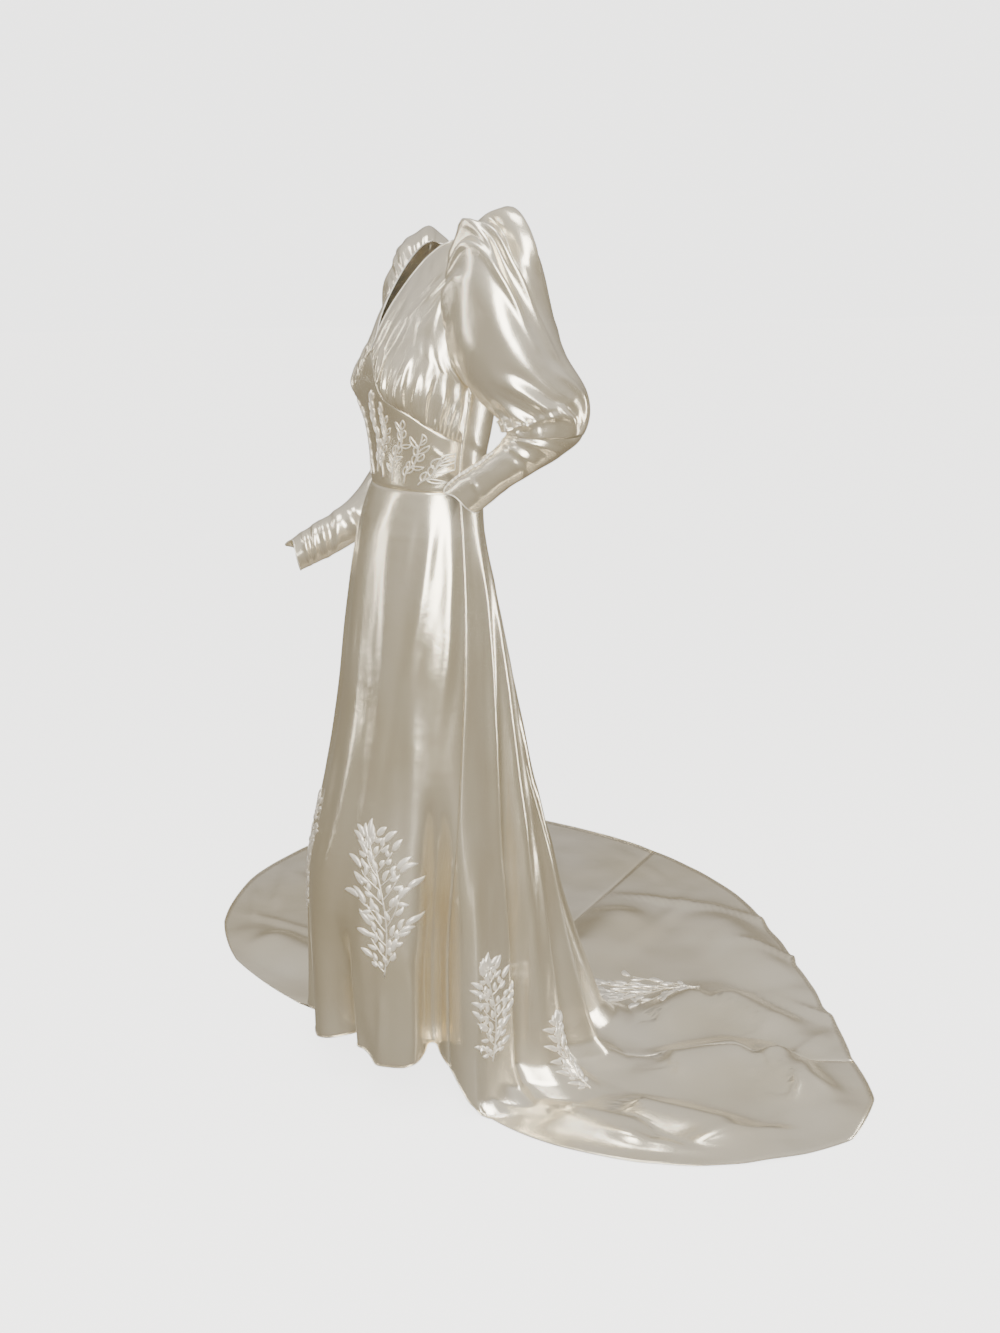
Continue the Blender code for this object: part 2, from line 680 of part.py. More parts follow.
def wall_from_grid(inner, outer, closed):
    """Closed wall from two grids of points, outer face first. Returns vertices and triangles."""
    rows = len(inner)
    columns = len(inner[0])
    points = [p for row in outer for p in row] + [p for row in inner for p in row]
    skip = rows * columns
    faces = []
    last = columns if closed else columns - 1
    for i in range(rows - 1):
        for j in range(last):
            a = i * columns + j
            b = i * columns + (j + 1) % columns
            c = (i + 1) * columns + (j + 1) % columns
            d = (i + 1) * columns + j
            if splits_forward(points[a + skip], points[b + skip], points[c + skip], points[d + skip]):
                faces += [(a, b, c), (a, c, d)]
                faces += [(a + skip, c + skip, b + skip), (a + skip, d + skip, c + skip)]
            else:
                faces += [(a, b, d), (b, c, d)]
                faces += [(a + skip, d + skip, b + skip), (b + skip, d + skip, c + skip)]
    for j in range(last):
        a = j
        b = (j + 1) % columns
        faces += [(a, a + skip, b + skip), (a, b + skip, b)]
        c = (rows - 1) * columns + j
        d = (rows - 1) * columns + (j + 1) % columns
        faces += [(c, d, d + skip), (c, d + skip, c + skip)]
    if not closed:
        for i in range(rows - 1):
            a = i * columns
            d = (i + 1) * columns
            faces += [(a, d, d + skip), (a, d + skip, a + skip)]
            b = i * columns + columns - 1
            c = (i + 1) * columns + columns - 1
            faces += [(b, b + skip, c + skip), (b, c + skip, c)]
    return points, faces


def add_piece(name, points, faces, material):
    """Add one named solid with its faces turned outward and its origin at its middle."""
    spots = np.array(points)
    middle = 0.5 * (spots.min(axis=0) + spots.max(axis=0))
    mesh = bpy.data.meshes.new(name)
    mesh.from_pydata([tuple(p) for p in spots - middle], [], faces)
    shape = bmesh.new()
    shape.from_mesh(mesh)
    bmesh.ops.recalc_face_normals(shape, faces=shape.faces)
    shape.to_mesh(mesh)
    shape.free()
    mesh.materials.append(material)
    mesh.update()
    piece = bpy.data.objects.new(name, mesh)
    bpy.context.collection.objects.link(piece)
    piece.location = Vector((middle[0], middle[1], middle[2] - HOLD_HEIGHT))
    return piece


def level(normal):
    """The same direction without its rise, for an edge that meets another piece at one height."""
    flat = normal * np.array([1.0, 1.0, 0.0])
    return flat / np.linalg.norm(flat)


def grid_wall(rows, columns, inner_point, normal_at, closed=False, level_first=False):
    """Grids of inner and outer points. The two functions take row and column shares."""
    width = columns if closed else columns + 1
    inner = [[inner_point(i, j) for j in range(width)] for i in range(rows + 1)]
    outer = []
    for i in range(rows + 1):
        outer_row = []
        for j in range(width):
            normal = normal_at(i, j)
            if level_first and i == 0:
                normal = level(normal)
            elif not closed and i > 0 and 0 < j < columns:
                across = inner[i][j + 1] - inner[i][j - 1]
                down = inner[min(rows, i + 1)][j] - inner[i - 1][j]
                mean = np.cross(across, down)
                mean = mean * math.copysign(1.0, float(np.dot(mean, normal)))
                normal = mean / np.linalg.norm(mean)
            outer_row.append(inner[i][j] + WALL * normal)
        outer.append(outer_row)
    return inner, outer


def trimmed(count, index, trim_start, trim_end):
    """Share along a row of points that stops short of both seams."""
    part = index / count
    return trim_start + part * (1.0 - trim_start - trim_end)


def add_bodice(material):
    """Two bust panels, the pointed midriff yoke and the back. Returns the grids of the yoke."""
    side_trim = 0.5 * SEAM_GAP / BUST_WIDTH
    for side, word in ((1.0, "left"), (-1.0, "right")):

        def bust_spot(i, j):
            across = trimmed(BUST_COLUMNS, j, side_trim, side_trim)
            up = trimmed(BUST_ROWS, i, 0.5 * SEAM_GAP / BUST_LENGTH, SHOULDER_TRIM)
            turn, height = bust_area(across, up)
            return across, up, side * turn, height

        def bust_point(i, j):
            across, up, turn, height = bust_spot(i, j)
            return torso_point(turn, height) + bust_folds(across, up) * torso_normal(turn, height)

        def bust_normal(i, j):
            _, _, turn, height = bust_spot(i, j)
            return torso_normal(turn, height)

        inner, outer = grid_wall(BUST_ROWS, BUST_COLUMNS, bust_point, bust_normal)
        add_piece("bodice_front_" + word, *wall_from_grid(inner, outer, False), material)

    def yoke_spot(i, j):
        side_trim = 0.5 * SEAM_GAP / YOKE_WIDTH
        part = trimmed(YOKE_COLUMNS, j, side_trim, side_trim) * 2.0 - 1.0
        up = trimmed(YOKE_ROWS, i, 0.5 * SEAM_GAP / YOKE_LENGTH, 0.5 * SEAM_GAP / YOKE_LENGTH)
        turn, height = yoke_area(abs(part), up)
        return math.copysign(turn, part), height

    inner, outer = grid_wall(
        YOKE_ROWS, YOKE_COLUMNS,
        lambda i, j: torso_point(*yoke_spot(i, j)),
        lambda i, j: torso_normal(*yoke_spot(i, j)),
        level_first=True,
    )
    yoke_grid = (inner, outer)
    add_piece("midriff_yoke", *wall_from_grid(inner, outer, False), material)

    def back_spot(i, j):
        side_trim = 0.5 * SEAM_GAP / BACK_WIDTH
        part = trimmed(BACK_COLUMNS, j, side_trim, side_trim) * 2.0 - 1.0
        up = trimmed(BACK_ROWS, i, 0.5 * SEAM_GAP / BACK_LENGTH, 0.0)
        turn, height = back_area(1.0 - abs(part), up)
        return (turn, height) if part < 0.0 else (360.0 - turn, height)

    inner, outer = grid_wall(
        BACK_ROWS, BACK_COLUMNS,
        lambda i, j: torso_point(*back_spot(i, j)),
        lambda i, j: torso_normal(*back_spot(i, j)),
        level_first=True,
    )
    add_piece("bodice_back", *wall_from_grid(inner, outer, False), material)
    return yoke_grid


def armhole_point(side, turn):
    """Point of the armhole edge at an angle round the sleeve, 0 at the shoulder and 90 at the back."""
    turn = turn % 360.0
    if turn <= 180.0:
        line, rows, place = ARMHOLE_LINES[1], ARMHOLE_ROWS_BACK, 1.0 - turn / 180.0
    else:
        line, rows, place = ARMHOLE_LINES[0], ARMHOLE_ROWS_FRONT, (turn - 180.0) / 180.0
    step = min(rows - 1, int(place * rows))
    first = along(line, step / rows)
    last = along(line, (step + 1) / rows)
    part = place * rows - step
    return lerp(torso_point(side * first[0], first[1]), torso_point(side * last[0], last[1]), part)


def sleeve_point(table, folds, side, ring, turn):
    """Inner face of a sleeve at a ring number and an angle round it."""
    rows = [(float(i),) + row for i, row in enumerate(table)]
    values = smooth_row(rows, ring)
    before = smooth_row(rows, max(0.0, ring - 0.05))
    after = smooth_row(rows, min(len(table) - 1.0, ring + 0.05))
    way = (after[:3] + after[3:6]) - (before[:3] + before[3:6])
    half = 0.5 * (values[3:6] - values[:3])
    sideways = np.cross(half, way)
    sideways = side * sideways / np.linalg.norm(sideways)
    centre = 0.5 * (values[:3] + values[3:6])
    angle = math.radians(turn)
    out = half * math.cos(angle) + values[6] * sideways * math.sin(angle)
    radius = np.linalg.norm(out)
    swell = 0.0
    for fold_ring, fold_turn, ring_spread, turn_spread, depth in folds:
        away = (turn - fold_turn + 180.0) % 360.0 - 180.0
        swell += depth * math.exp(-((ring - fold_ring) / ring_spread) ** 2 - (away / turn_spread) ** 2)
    if 0.0 < ring < SLEEVE_GATHER_RINGS:
        grown = smooth_step(ring / 0.7) * (1.0 - smooth_step((ring - 0.7) / (SLEEVE_GATHER_RINGS - 0.7)))
        over = 0.5 + 0.5 * math.cos(math.radians(turn))
        swell += SLEEVE_GATHER_DEPTH * grown * over * math.cos(SLEEVE_GATHERS * math.radians(turn))
    point = centre + out * (1.0 + swell / radius)
    if ring < 1.0:
        rim = armhole_point(side, turn)
        inward = (centre - rim) / np.linalg.norm(centre - rim)
        rim = rim + (inward + ARMHOLE_OUT[side]) * (WALL + ARMHOLE_INSET)
        point = lerp(rim, point, smooth_step(ring))
    last = len(table) - 1.0
    if ring > last - CUFF_POINT_RINGS:
        away = (turn - CUFF_POINT_TURN + 180.0) % 360.0 - 180.0
        grown = ((ring - last + CUFF_POINT_RINGS) / CUFF_POINT_RINGS) ** 2
        stretch = CUFF_POINT * math.exp(-(away / CUFF_POINT_SPREAD) ** 2) * grown
        point = point + stretch * way / np.linalg.norm(way)
    return point


def sleeve_normal(table, folds, side, ring, turn):
    last = len(table) - 1.0
    low = max(0.0, ring - 0.05)
    high = min(last, ring + 0.05)
    before = sleeve_point(table, folds, side, low, turn)
    after = sleeve_point(table, folds, side, high, turn)
    one_side = sleeve_point(table, folds, side, ring, turn - 1.5)
    other_side = sleeve_point(table, folds, side, ring, turn + 1.5)
    normal = side * np.cross(after - before, other_side - one_side)
    return normal / np.linalg.norm(normal)


def add_sleeves(material):
    """Upper and lower part of both sleeves. Returns the grids of each part."""
    grids = {}
    for side, word, table, folds in (
        (1.0, "left", LEFT_SLEEVE, LEFT_SLEEVE_FOLDS),
        (-1.0, "right", RIGHT_SLEEVE, RIGHT_SLEEVE_FOLDS),
    ):
        last = len(table) - 1.0
        for part, first, end, rows, columns in (
            ("upper", 0.0, SLEEVE_SEAM_RING - SLEEVE_SEAM_RINGS, UPPER_SLEEVE_ROWS, SLEEVE_COLUMNS),
            ("lower", SLEEVE_SEAM_RING + SLEEVE_SEAM_RINGS, last, LOWER_SLEEVE_ROWS, LOWER_SLEEVE_COLUMNS),
        ):

            def ring_of(i):
                share = i / rows
                if part == "upper":
                    share = share * (1.0 - SLEEVE_CROWDING + SLEEVE_CROWDING * share)
                return lerp(first, end, share)

            inner, outer = grid_wall(
                rows, columns,
                lambda i, j: sleeve_point(table, folds, side, ring_of(i), 360.0 * j / columns),
                lambda i, j: sleeve_normal(table, folds, side, ring_of(i), 360.0 * j / columns),
                closed=True,
            )
            name = "sleeve_" + word + "_" + part
            add_piece(name, *wall_from_grid(inner, outer, True), material)
            grids[name] = (inner, outer, first, end, rows, columns)
    return grids


def add_skirt(material):
    """Five skirt panels that hang from the waist, the back ones run out into the train."""
    grids = {}
    for panel in SKIRT_PANELS:
        name = panel[0]
        columns = panel[5]

        def spot(i, j):
            down = i / SKIRT_ROWS
            start = seam_trim(panel, down, 0.0)
            end = seam_trim(panel, down, 1.0)
            across = trimmed(columns, j, start, end)
            angle = panel_angle(panel, across, down)
            way = way_down(angle, down)
            return angle, way + (0.5 * SEAM_GAP if i == 0 else 0.0)

        inner, outer = grid_wall(
            SKIRT_ROWS, columns,
            lambda i, j: skirt_point(*spot(i, j)),
            lambda i, j: skirt_normal(*spot(i, j)),
            level_first=True,
        )
        add_piece(name, *wall_from_grid(inner, outer, False), material)
        grids[name] = (panel, (inner, outer))
    return grids


def facet_point(grids, across, down):
    """Point and outward normal on the outer triangles of a wall at a column number and a row number."""
    inner, grid = grids
    rows = len(grid)
    columns = len(grid[0])
    i = int(min(rows - 2, max(0, math.floor(down))))
    j = int(min(columns - 2, max(0, math.floor(across))))
    part_down = down - i
    part_across = across - j
    a = grid[i][j]
    b = grid[i][j + 1]
    c = grid[i + 1][j + 1]
    d = grid[i + 1][j]
    under = (inner[i][j], inner[i][j + 1], inner[i + 1][j + 1], inner[i + 1][j])
    if splits_forward(*under):
        if part_across >= part_down:
            point = a + part_across * (b - a) + part_down * (c - b)
        else:
            point = a + part_down * (d - a) + part_across * (c - d)
    elif part_across + part_down <= 1.0:
        point = a + part_across * (b - a) + part_down * (d - a)
    else:
        point = c + (1.0 - part_across) * (d - c) + (1.0 - part_down) * (b - c)
    normal = np.cross(c - a, b - d)
    normal = normal * math.copysign(1.0, float(np.dot(normal, a - inner[i][j])))
    return point, normal / np.linalg.norm(normal)


def spray_mesh(place, length, leaf_length, leaf_width, pairs, lift):
    """Leaves on both sides of a stem. The place function gives a point and normal from way across and up."""
    points = []
    faces = []

    def corner(p, q, rise):
        point, normal = place(p, q)
        points.append(point + normal * rise)
        return len(points) - 1

    segments = pairs + 1
    top_level = lift + LEAF_RIM
    ridge_level = top_level + LEAF_RISE
    stem = []
    for k in range(segments * 2 + 1):
        q = length * STEM_SHARE * k / (segments * 2)
        half = STEM_HALF_WIDTH * (1.0 - STEM_TAPER * k / (segments * 2))
        stem.append({
            "q": q,
            "low": {-1: corner(-half, q, lift), 1: corner(half, q, lift)},
            "high": {-1: corner(-half, q, top_level), 1: corner(half, q, top_level)},
            "half": half,
        })
    count = len(stem) - 1
    for k in range(count):
        lower = stem[k]
        upper = stem[k + 1]
        faces.append((lower["low"][-1], upper["low"][-1], upper["low"][1]))
        faces.append((lower["low"][-1], upper["low"][1], lower["low"][1]))
        faces.append((lower["high"][-1], upper["high"][1], upper["high"][-1]))
        faces.append((lower["high"][-1], lower["high"][1], upper["high"][1]))
        for side in (-1, 1):
            leaf_here = (k % 2 == 1) if side == 1 else (k % 2 == 0 and k > 0)
            pair = k // 2
            if leaf_here and pair < pairs + 1:
                size = 1.0 - LEAF_SHRINK * abs(pair / pairs - FULLEST_PAIR)
                if side == -1:
                    size -= SECOND_LEAF_SHRINK
                lean = math.radians(LEAF_LEAN - LEAF_LEAN_LOSS * pair / pairs)
                sizes = (leaf_length * size, leaf_width * size)
                add_leaf(points, faces, place, lower, upper, side, lean, sizes, lift)
            else:
                wall = (lower["low"][side], upper["low"][side], upper["high"][side], lower["high"][side])
                if side == 1:
                    wall = wall[::-1]
                faces.append((wall[0], wall[2], wall[1]))
                faces.append((wall[0], wall[3], wall[2]))
    foot = stem[0]
    faces.append((foot["low"][-1], foot["low"][1], foot["high"][1]))
    faces.append((foot["low"][-1], foot["high"][1], foot["high"][-1]))
    end = stem[-1]
    tip_q = end["q"] + TIP_LEAF_REACH * leaf_length
    middle_q = end["q"] + TIP_LEAF_MIDDLE * leaf_length
    spots = {}
    for side in (-1, 1):
        half = side * TIP_LEAF_HALF_WIDTH * leaf_width
        spots[side] = (corner(half, middle_q, lift), corner(half, middle_q, top_level))
    ridge = corner(0.0, middle_q, ridge_level)
    tip_low = corner(0.0, tip_q, lift)
    tip_high = corner(0.0, tip_q, top_level)
    left_low, left_high = spots[-1]
    right_low, right_high = spots[1]
    faces += [
        (end["low"][-1], left_low, right_low), (end["low"][-1], right_low, end["low"][1]),
        (left_low, tip_low, right_low),
        (end["high"][-1], ridge, left_high), (end["high"][-1], end["high"][1], ridge),
        (end["high"][1], right_high, ridge), (left_high, ridge, tip_high), (ridge, right_high, tip_high),
    ]
    for first_low, last_low, first_high, last_high in (
        (end["low"][-1], left_low, end["high"][-1], left_high),
        (left_low, tip_low, left_high, tip_high),
        (tip_low, right_low, tip_high, right_high),
        (right_low, end["low"][1], right_high, end["high"][1]),
    ):
        faces += [(first_low, first_high, last_high), (first_low, last_high, last_low)]
    return points, faces


def add_leaf(points, faces, place, lower, upper, side, lean, sizes, lift):
    """One leaf grown from a step of the stem, with a raised middle. Sizes are its length and width."""
    length, width = sizes
    base_q = 0.5 * (lower["q"] + upper["q"])
    base_p = side * lower["half"]
    way = (side * math.sin(lean), math.cos(lean))
    cross = (-way[1] * side, way[0] * side)

    def corner(along_way, across_way, rise):
        p = base_p + way[0] * along_way + cross[0] * across_way
        q = base_q + way[1] * along_way + cross[1] * across_way
        point, normal = place(p, q)
        points.append(point + normal * rise)
        return len(points) - 1

    top_level = lift + LEAF_RIM
    ridge_level = top_level + LEAF_RISE
    low_rail = [[lower["low"][side], upper["low"][side]]]
    high_rail = [[lower["high"][side], upper["high"][side]]]
    ridges = []
    for length_share, width_share in LEAF_OUTLINE:
        along_way = length_share * length
        half = width_share * width
        low_rail.append([corner(along_way, -half, lift), corner(along_way, half, lift)])
        high_rail.append([corner(along_way, -half, top_level), corner(along_way, half, top_level)])
        ridges.append(corner(along_way, 0.0, ridge_level))
    tip_low = corner(length, 0.0, lift)
    tip_high = corner(length, 0.0, top_level)
    new = []
    for i in (0, 1):
        new += [
            (low_rail[i][0], low_rail[i + 1][1], low_rail[i + 1][0]),
            (low_rail[i][0], low_rail[i][1], low_rail[i + 1][1]),
        ]
    new.append((low_rail[2][0], low_rail[2][1], tip_low))
    new += [
        (high_rail[0][0], high_rail[1][0], ridges[0]),
        (high_rail[0][0], ridges[0], high_rail[0][1]),
        (high_rail[0][1], ridges[0], high_rail[1][1]),
        (high_rail[1][0], high_rail[2][0], ridges[1]),
        (high_rail[1][0], ridges[1], ridges[0]),
        (ridges[0], ridges[1], high_rail[2][1]),
        (ridges[0], high_rail[2][1], high_rail[1][1]),
        (high_rail[2][0], tip_high, ridges[1]),
        (ridges[1], tip_high, high_rail[2][1]),
    ]
    for i in (0, 1):
        new += [
            (low_rail[i][0], low_rail[i + 1][0], high_rail[i + 1][0]),
            (low_rail[i][0], high_rail[i + 1][0], high_rail[i][0]),
            (low_rail[i + 1][1], low_rail[i][1], high_rail[i][1]),
            (low_rail[i + 1][1], high_rail[i][1], high_rail[i + 1][1]),
        ]
    new += [
        (low_rail[2][0], tip_low, tip_high), (low_rail[2][0], tip_high, high_rail[2][0]),
        (tip_low, low_rail[2][1], high_rail[2][1]), (tip_low, high_rail[2][1], tip_high),
    ]
    if side == 1:
        new = [face[::-1] for face in new]
    faces += new


def add_sprays(material, skirt_grids, yoke_grid):
    """Five leaf sprays on the skirt and one on the yoke, laid on the outer faces of the walls."""
    for name, panel_name, angle, foot, lean, length, leaf_length, leaf_width, pairs, lift in SPRAYS:
        panel, grid = skirt_grids[panel_name]
        columns = panel[5]
        tilt = math.radians(lean)

        def place(p, q):
            up = q * math.cos(tilt) - p * math.sin(tilt)
            over = q * math.sin(tilt) + p * math.cos(tilt)
            way = foot - up
            reach = np.linalg.norm(skirt_point(angle, way)[:2])
            here = angle + math.degrees(over / max(0.05, reach))
            down = share_down(here, way)
            start = panel_angle(panel, 0.0, down)
            end = panel_angle(panel, 1.0, down)
            across = (here - start) / (end - start)
            return facet_point(grid, across * columns, down * SKIRT_ROWS)

        points, faces = spray_mesh(place, length, leaf_length, leaf_width, pairs, lift)
        add_piece(name, points, faces, material)

    def yoke_place(p, q):
        height = YOKE_SPRAY_STEM[0] + q
        turn = math.degrees(math.asin(max(-1.0, min(1.0, p / YOKE_SPRAY_RADIUS))))
        low = 0.0
        high = 1.0
        for _ in range(24):
            up = 0.5 * (low + high)
            part = 0.0
            for _ in range(3):
                part += (abs(turn) - yoke_area(min(1.0, part), up)[0]) / 93.0
            if yoke_area(min(1.0, max(0.0, part)), up)[1] < height:
                low = up
            else:
                high = up
        across = (0.5 + 0.5 * math.copysign(part, p)) * YOKE_COLUMNS
        return facet_point(yoke_grid, across, 0.5 * (low + high) * YOKE_ROWS)

    length = YOKE_SPRAY_STEM[1] - YOKE_SPRAY_STEM[0]
    sizes = (YOKE_LEAF_LENGTH, YOKE_LEAF_WIDTH, YOKE_SPRAY_PAIRS)
    points, faces = spray_mesh(yoke_place, length, *sizes, YOKE_TRIM_LIFT)
    add_piece("spray_yoke", points, faces, material)


def button_mesh(base, normal, side_way, up_way):
    """A domed button on a base point: three rims of points and a top point."""
    points = []
    faces = []
    for share, height in BUTTON_RIMS:
        for k in range(BUTTON_SIDES):
            angle = 2.0 * math.pi * k / BUTTON_SIDES
            spot = base + normal * BUTTON_HEIGHT * height
            spot = spot + BUTTON_RADIUS * share * (math.cos(angle) * side_way + math.sin(angle) * up_way)
            points.append(spot)
    points.append(base + normal * BUTTON_HEIGHT)
    rims = len(BUTTON_RIMS)
    for rim in range(rims - 1):
        for k in range(BUTTON_SIDES):
            a = rim * BUTTON_SIDES + k
            b = rim * BUTTON_SIDES + (k + 1) % BUTTON_SIDES
            faces += [(a, b, b + BUTTON_SIDES), (a, b + BUTTON_SIDES, a + BUTTON_SIDES)]
    last = (rims - 1) * BUTTON_SIDES
    for k in range(BUTTON_SIDES):
        faces.append((last + k, last + (k + 1) % BUTTON_SIDES, rims * BUTTON_SIDES))
    for k in range(1, BUTTON_SIDES - 1):
        faces.append((0, k + 1, k))
    return points, faces


def add_buttons(material, grids):
    """A row of buttons along each lower sleeve, spaced evenly along its outer face."""
    for word, turn in (("left", BUTTON_TURN_LEFT), ("right", BUTTON_TURN_RIGHT)):
        inner, outer, first, end, rows, columns = grids["sleeve_" + word + "_lower"]
        joined = ([row + [row[0]] for row in inner], [row + [row[0]] for row in outer])

        def on_sleeve(ring):
            return facet_point(joined, turn / 360.0 * columns, (ring - first) / (end - first) * rows)

        rings = np.linspace(BUTTON_FIRST_RING, BUTTON_LAST_RING, 60)
        spots = np.array([on_sleeve(ring)[0] for ring in rings])
        ways = np.concatenate(([0.0], np.cumsum(np.linalg.norm(np.diff(spots, axis=0), axis=1))))
        for number in range(BUTTONS_PER_SLEEVE):
            ring = np.interp(ways[-1] * number / (BUTTONS_PER_SLEEVE - 1), ways, rings)
            centre, normal = on_sleeve(ring)
            side_way = np.cross(normal, np.array([0.0, 0.0, 1.0]))
            side_way = side_way / np.linalg.norm(side_way)
            up_way = np.cross(side_way, normal)
            points, faces = button_mesh(centre + normal * BUTTON_LIFT, normal, side_way, up_way)
            add_piece("button_" + word + "_" + str(number + 1), points, faces, material)


def main():
    clear_scene()
    satin = make_material("satin", SATIN_COLOUR, SATIN_ROUGHNESS)
    yoke_grid = add_bodice(satin)
    sleeve_grids = add_sleeves(satin)
    skirt_grids = add_skirt(satin)
    add_sprays(satin, skirt_grids, yoke_grid)
    add_buttons(satin, sleeve_grids)


main()
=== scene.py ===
# Satin wedding gown with leg-of-mutton sleeves and a swept train: its cloth, trims and studio
import math

import bpy
import numpy as np
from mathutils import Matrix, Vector


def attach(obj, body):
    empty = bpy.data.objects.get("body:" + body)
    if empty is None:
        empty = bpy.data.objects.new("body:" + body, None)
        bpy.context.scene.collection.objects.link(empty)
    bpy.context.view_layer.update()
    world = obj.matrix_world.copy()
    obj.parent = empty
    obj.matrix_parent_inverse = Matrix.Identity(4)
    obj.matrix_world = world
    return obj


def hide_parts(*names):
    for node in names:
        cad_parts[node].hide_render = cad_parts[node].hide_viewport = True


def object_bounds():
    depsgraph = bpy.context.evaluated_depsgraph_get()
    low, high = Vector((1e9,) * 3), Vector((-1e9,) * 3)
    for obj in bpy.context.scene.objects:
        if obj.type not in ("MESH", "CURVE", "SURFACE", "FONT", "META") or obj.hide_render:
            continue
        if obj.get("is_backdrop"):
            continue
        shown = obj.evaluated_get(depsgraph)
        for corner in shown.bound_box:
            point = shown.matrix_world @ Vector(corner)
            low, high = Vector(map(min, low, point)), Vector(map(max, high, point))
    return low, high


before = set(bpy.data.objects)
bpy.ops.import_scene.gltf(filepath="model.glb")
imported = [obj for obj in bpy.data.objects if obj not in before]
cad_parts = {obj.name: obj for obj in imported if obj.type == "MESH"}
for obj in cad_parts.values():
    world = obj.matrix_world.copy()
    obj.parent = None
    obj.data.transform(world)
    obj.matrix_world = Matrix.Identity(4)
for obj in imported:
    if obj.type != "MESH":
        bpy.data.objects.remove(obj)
cad_box = [list(corner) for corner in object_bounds()]

# Sizes in metres and degrees. Heights are measured from the floor, as in the part's source.
HOLD_HEIGHT = 1.45
WAIST_HEIGHT = 1.075
WALL = 0.0016
SEAM_GAP = 0.0003
CLOTH_LIFT = 0.0013
CLOTH = 0.0008
SEAM_DIP = 0.0007
SEAM_DIP_WIDTH = 0.0028

# Torso sections. Columns: height, half width at the side, depth in front, depth at the back, set back.
TORSO = (
    (1.075, 0.130, 0.087, 0.088, 0.000),
    (1.120, 0.133, 0.089, 0.093, 0.000),
    (1.160, 0.138, 0.093, 0.100, 0.000),
    (1.200, 0.144, 0.099, 0.107, 0.000),
    (1.240, 0.149, 0.105, 0.112, 0.000),
    (1.280, 0.152, 0.103, 0.114, 0.000),
    (1.320, 0.154, 0.092, 0.113, 0.002),
    (1.360, 0.154, 0.080, 0.108, 0.005),
    (1.400, 0.149, 0.064, 0.095, 0.010),
    (1.432, 0.139, 0.047, 0.076, 0.013),
    (1.456, 0.112, 0.031, 0.052, 0.015),
    (1.478, 0.066, 0.016, 0.026, 0.018),
)
BUST_TURN = 36.0
BUST_HEIGHT = 1.238
BUST_FULLNESS = 0.016
BUST_SPREAD_TURN = 22.0
BUST_SPREAD_HEIGHT = 0.045
SHOULDER_SET_BACK = 0.42
SET_BACK_START = 0.035
SET_BACK_HEIGHTS = (1.16, 1.42)
TURN_SCALE = 0.0022

# Edges of the bodice pieces on the torso. Columns: turn from centre front, height.
YOKE_TOP = (
    (0.0, 1.298), (7.0, 1.284), (16.0, 1.254), (30.0, 1.222), (45.0, 1.203),
    (60.0, 1.182), (78.0, 1.166), (94.5, 1.155),
)
SIDE_SEAM_LOW = ((93.0, 1.075), (94.5, 1.155))
SIDE_SEAM_HIGH = ((94.5, 1.155), (96.5, 1.200), (98.0, 1.243))
ARMHOLE_FRONT = (
    (98.0, 1.243), (90.0, 1.260), (80.0, 1.288), (73.5, 1.320), (71.5, 1.354),
    (75.0, 1.389), (82.0, 1.416), (89.4, 1.432),
)
ARMHOLE_BACK = (
    (98.0, 1.243), (107.0, 1.250), (116.0, 1.278), (119.0, 1.318), (116.0, 1.358),
    (108.0, 1.394), (98.0, 1.420), (90.6, 1.432),
)
SHOULDER_FRONT = ((89.4, 1.476), (89.4, 1.456), (89.4, 1.432))
SHOULDER_BACK = ((90.6, 1.432), (90.6, 1.456), (90.6, 1.476))
NECK_FRONT = (
    (0.0, 1.298), (0.0, 1.326), (8.0, 1.385), (18.0, 1.434), (29.0, 1.455), (49.0, 1.468), (89.4, 1.476),
)
BACK_NECK_HEIGHT = 1.462
BUST_GATHERS = 7
BUST_GATHER_DEPTH = 0.0042
NECK_FOLDS = 3
NECK_FOLD_DEPTH = 0.0030

# Sleeve rings. Columns: under side x, y, z, then outer side x, y, z, then half width front to back.
LEFT_SLEEVE = (
    (0.153, 0.030, 1.245, 0.139, 0.012, 1.432, 0.056),
    (0.163, 0.029, 1.242, 0.168, 0.014, 1.490, 0.063),
    (0.172, 0.030, 1.238, 0.212, 0.024, 1.516, 0.069),
    (0.181, 0.031, 1.232, 0.254, 0.036, 1.498, 0.072),
    (0.190, 0.032, 1.225, 0.280, 0.050, 1.442, 0.070),
    (0.200, 0.034, 1.217, 0.291, 0.074, 1.372, 0.067),
    (0.211, 0.037, 1.207, 0.297, 0.106, 1.305, 0.064),
    (0.222, 0.041, 1.196, 0.300, 0.145, 1.244, 0.061),
    (0.233, 0.043, 1.180, 0.287, 0.148, 1.180, 0.056),
    (0.225, 0.032, 1.160, 0.272, 0.119, 1.146, 0.048),
    (0.212, 0.016, 1.142, 0.252, 0.086, 1.122, 0.042),
    (0.195, 0.001, 1.126, 0.228, 0.054, 1.096, 0.037),
    (0.180, -0.010, 1.114, 0.207, 0.030, 1.070, 0.033),
    (0.167, -0.018, 1.102, 0.190, 0.012, 1.050, 0.030),
)
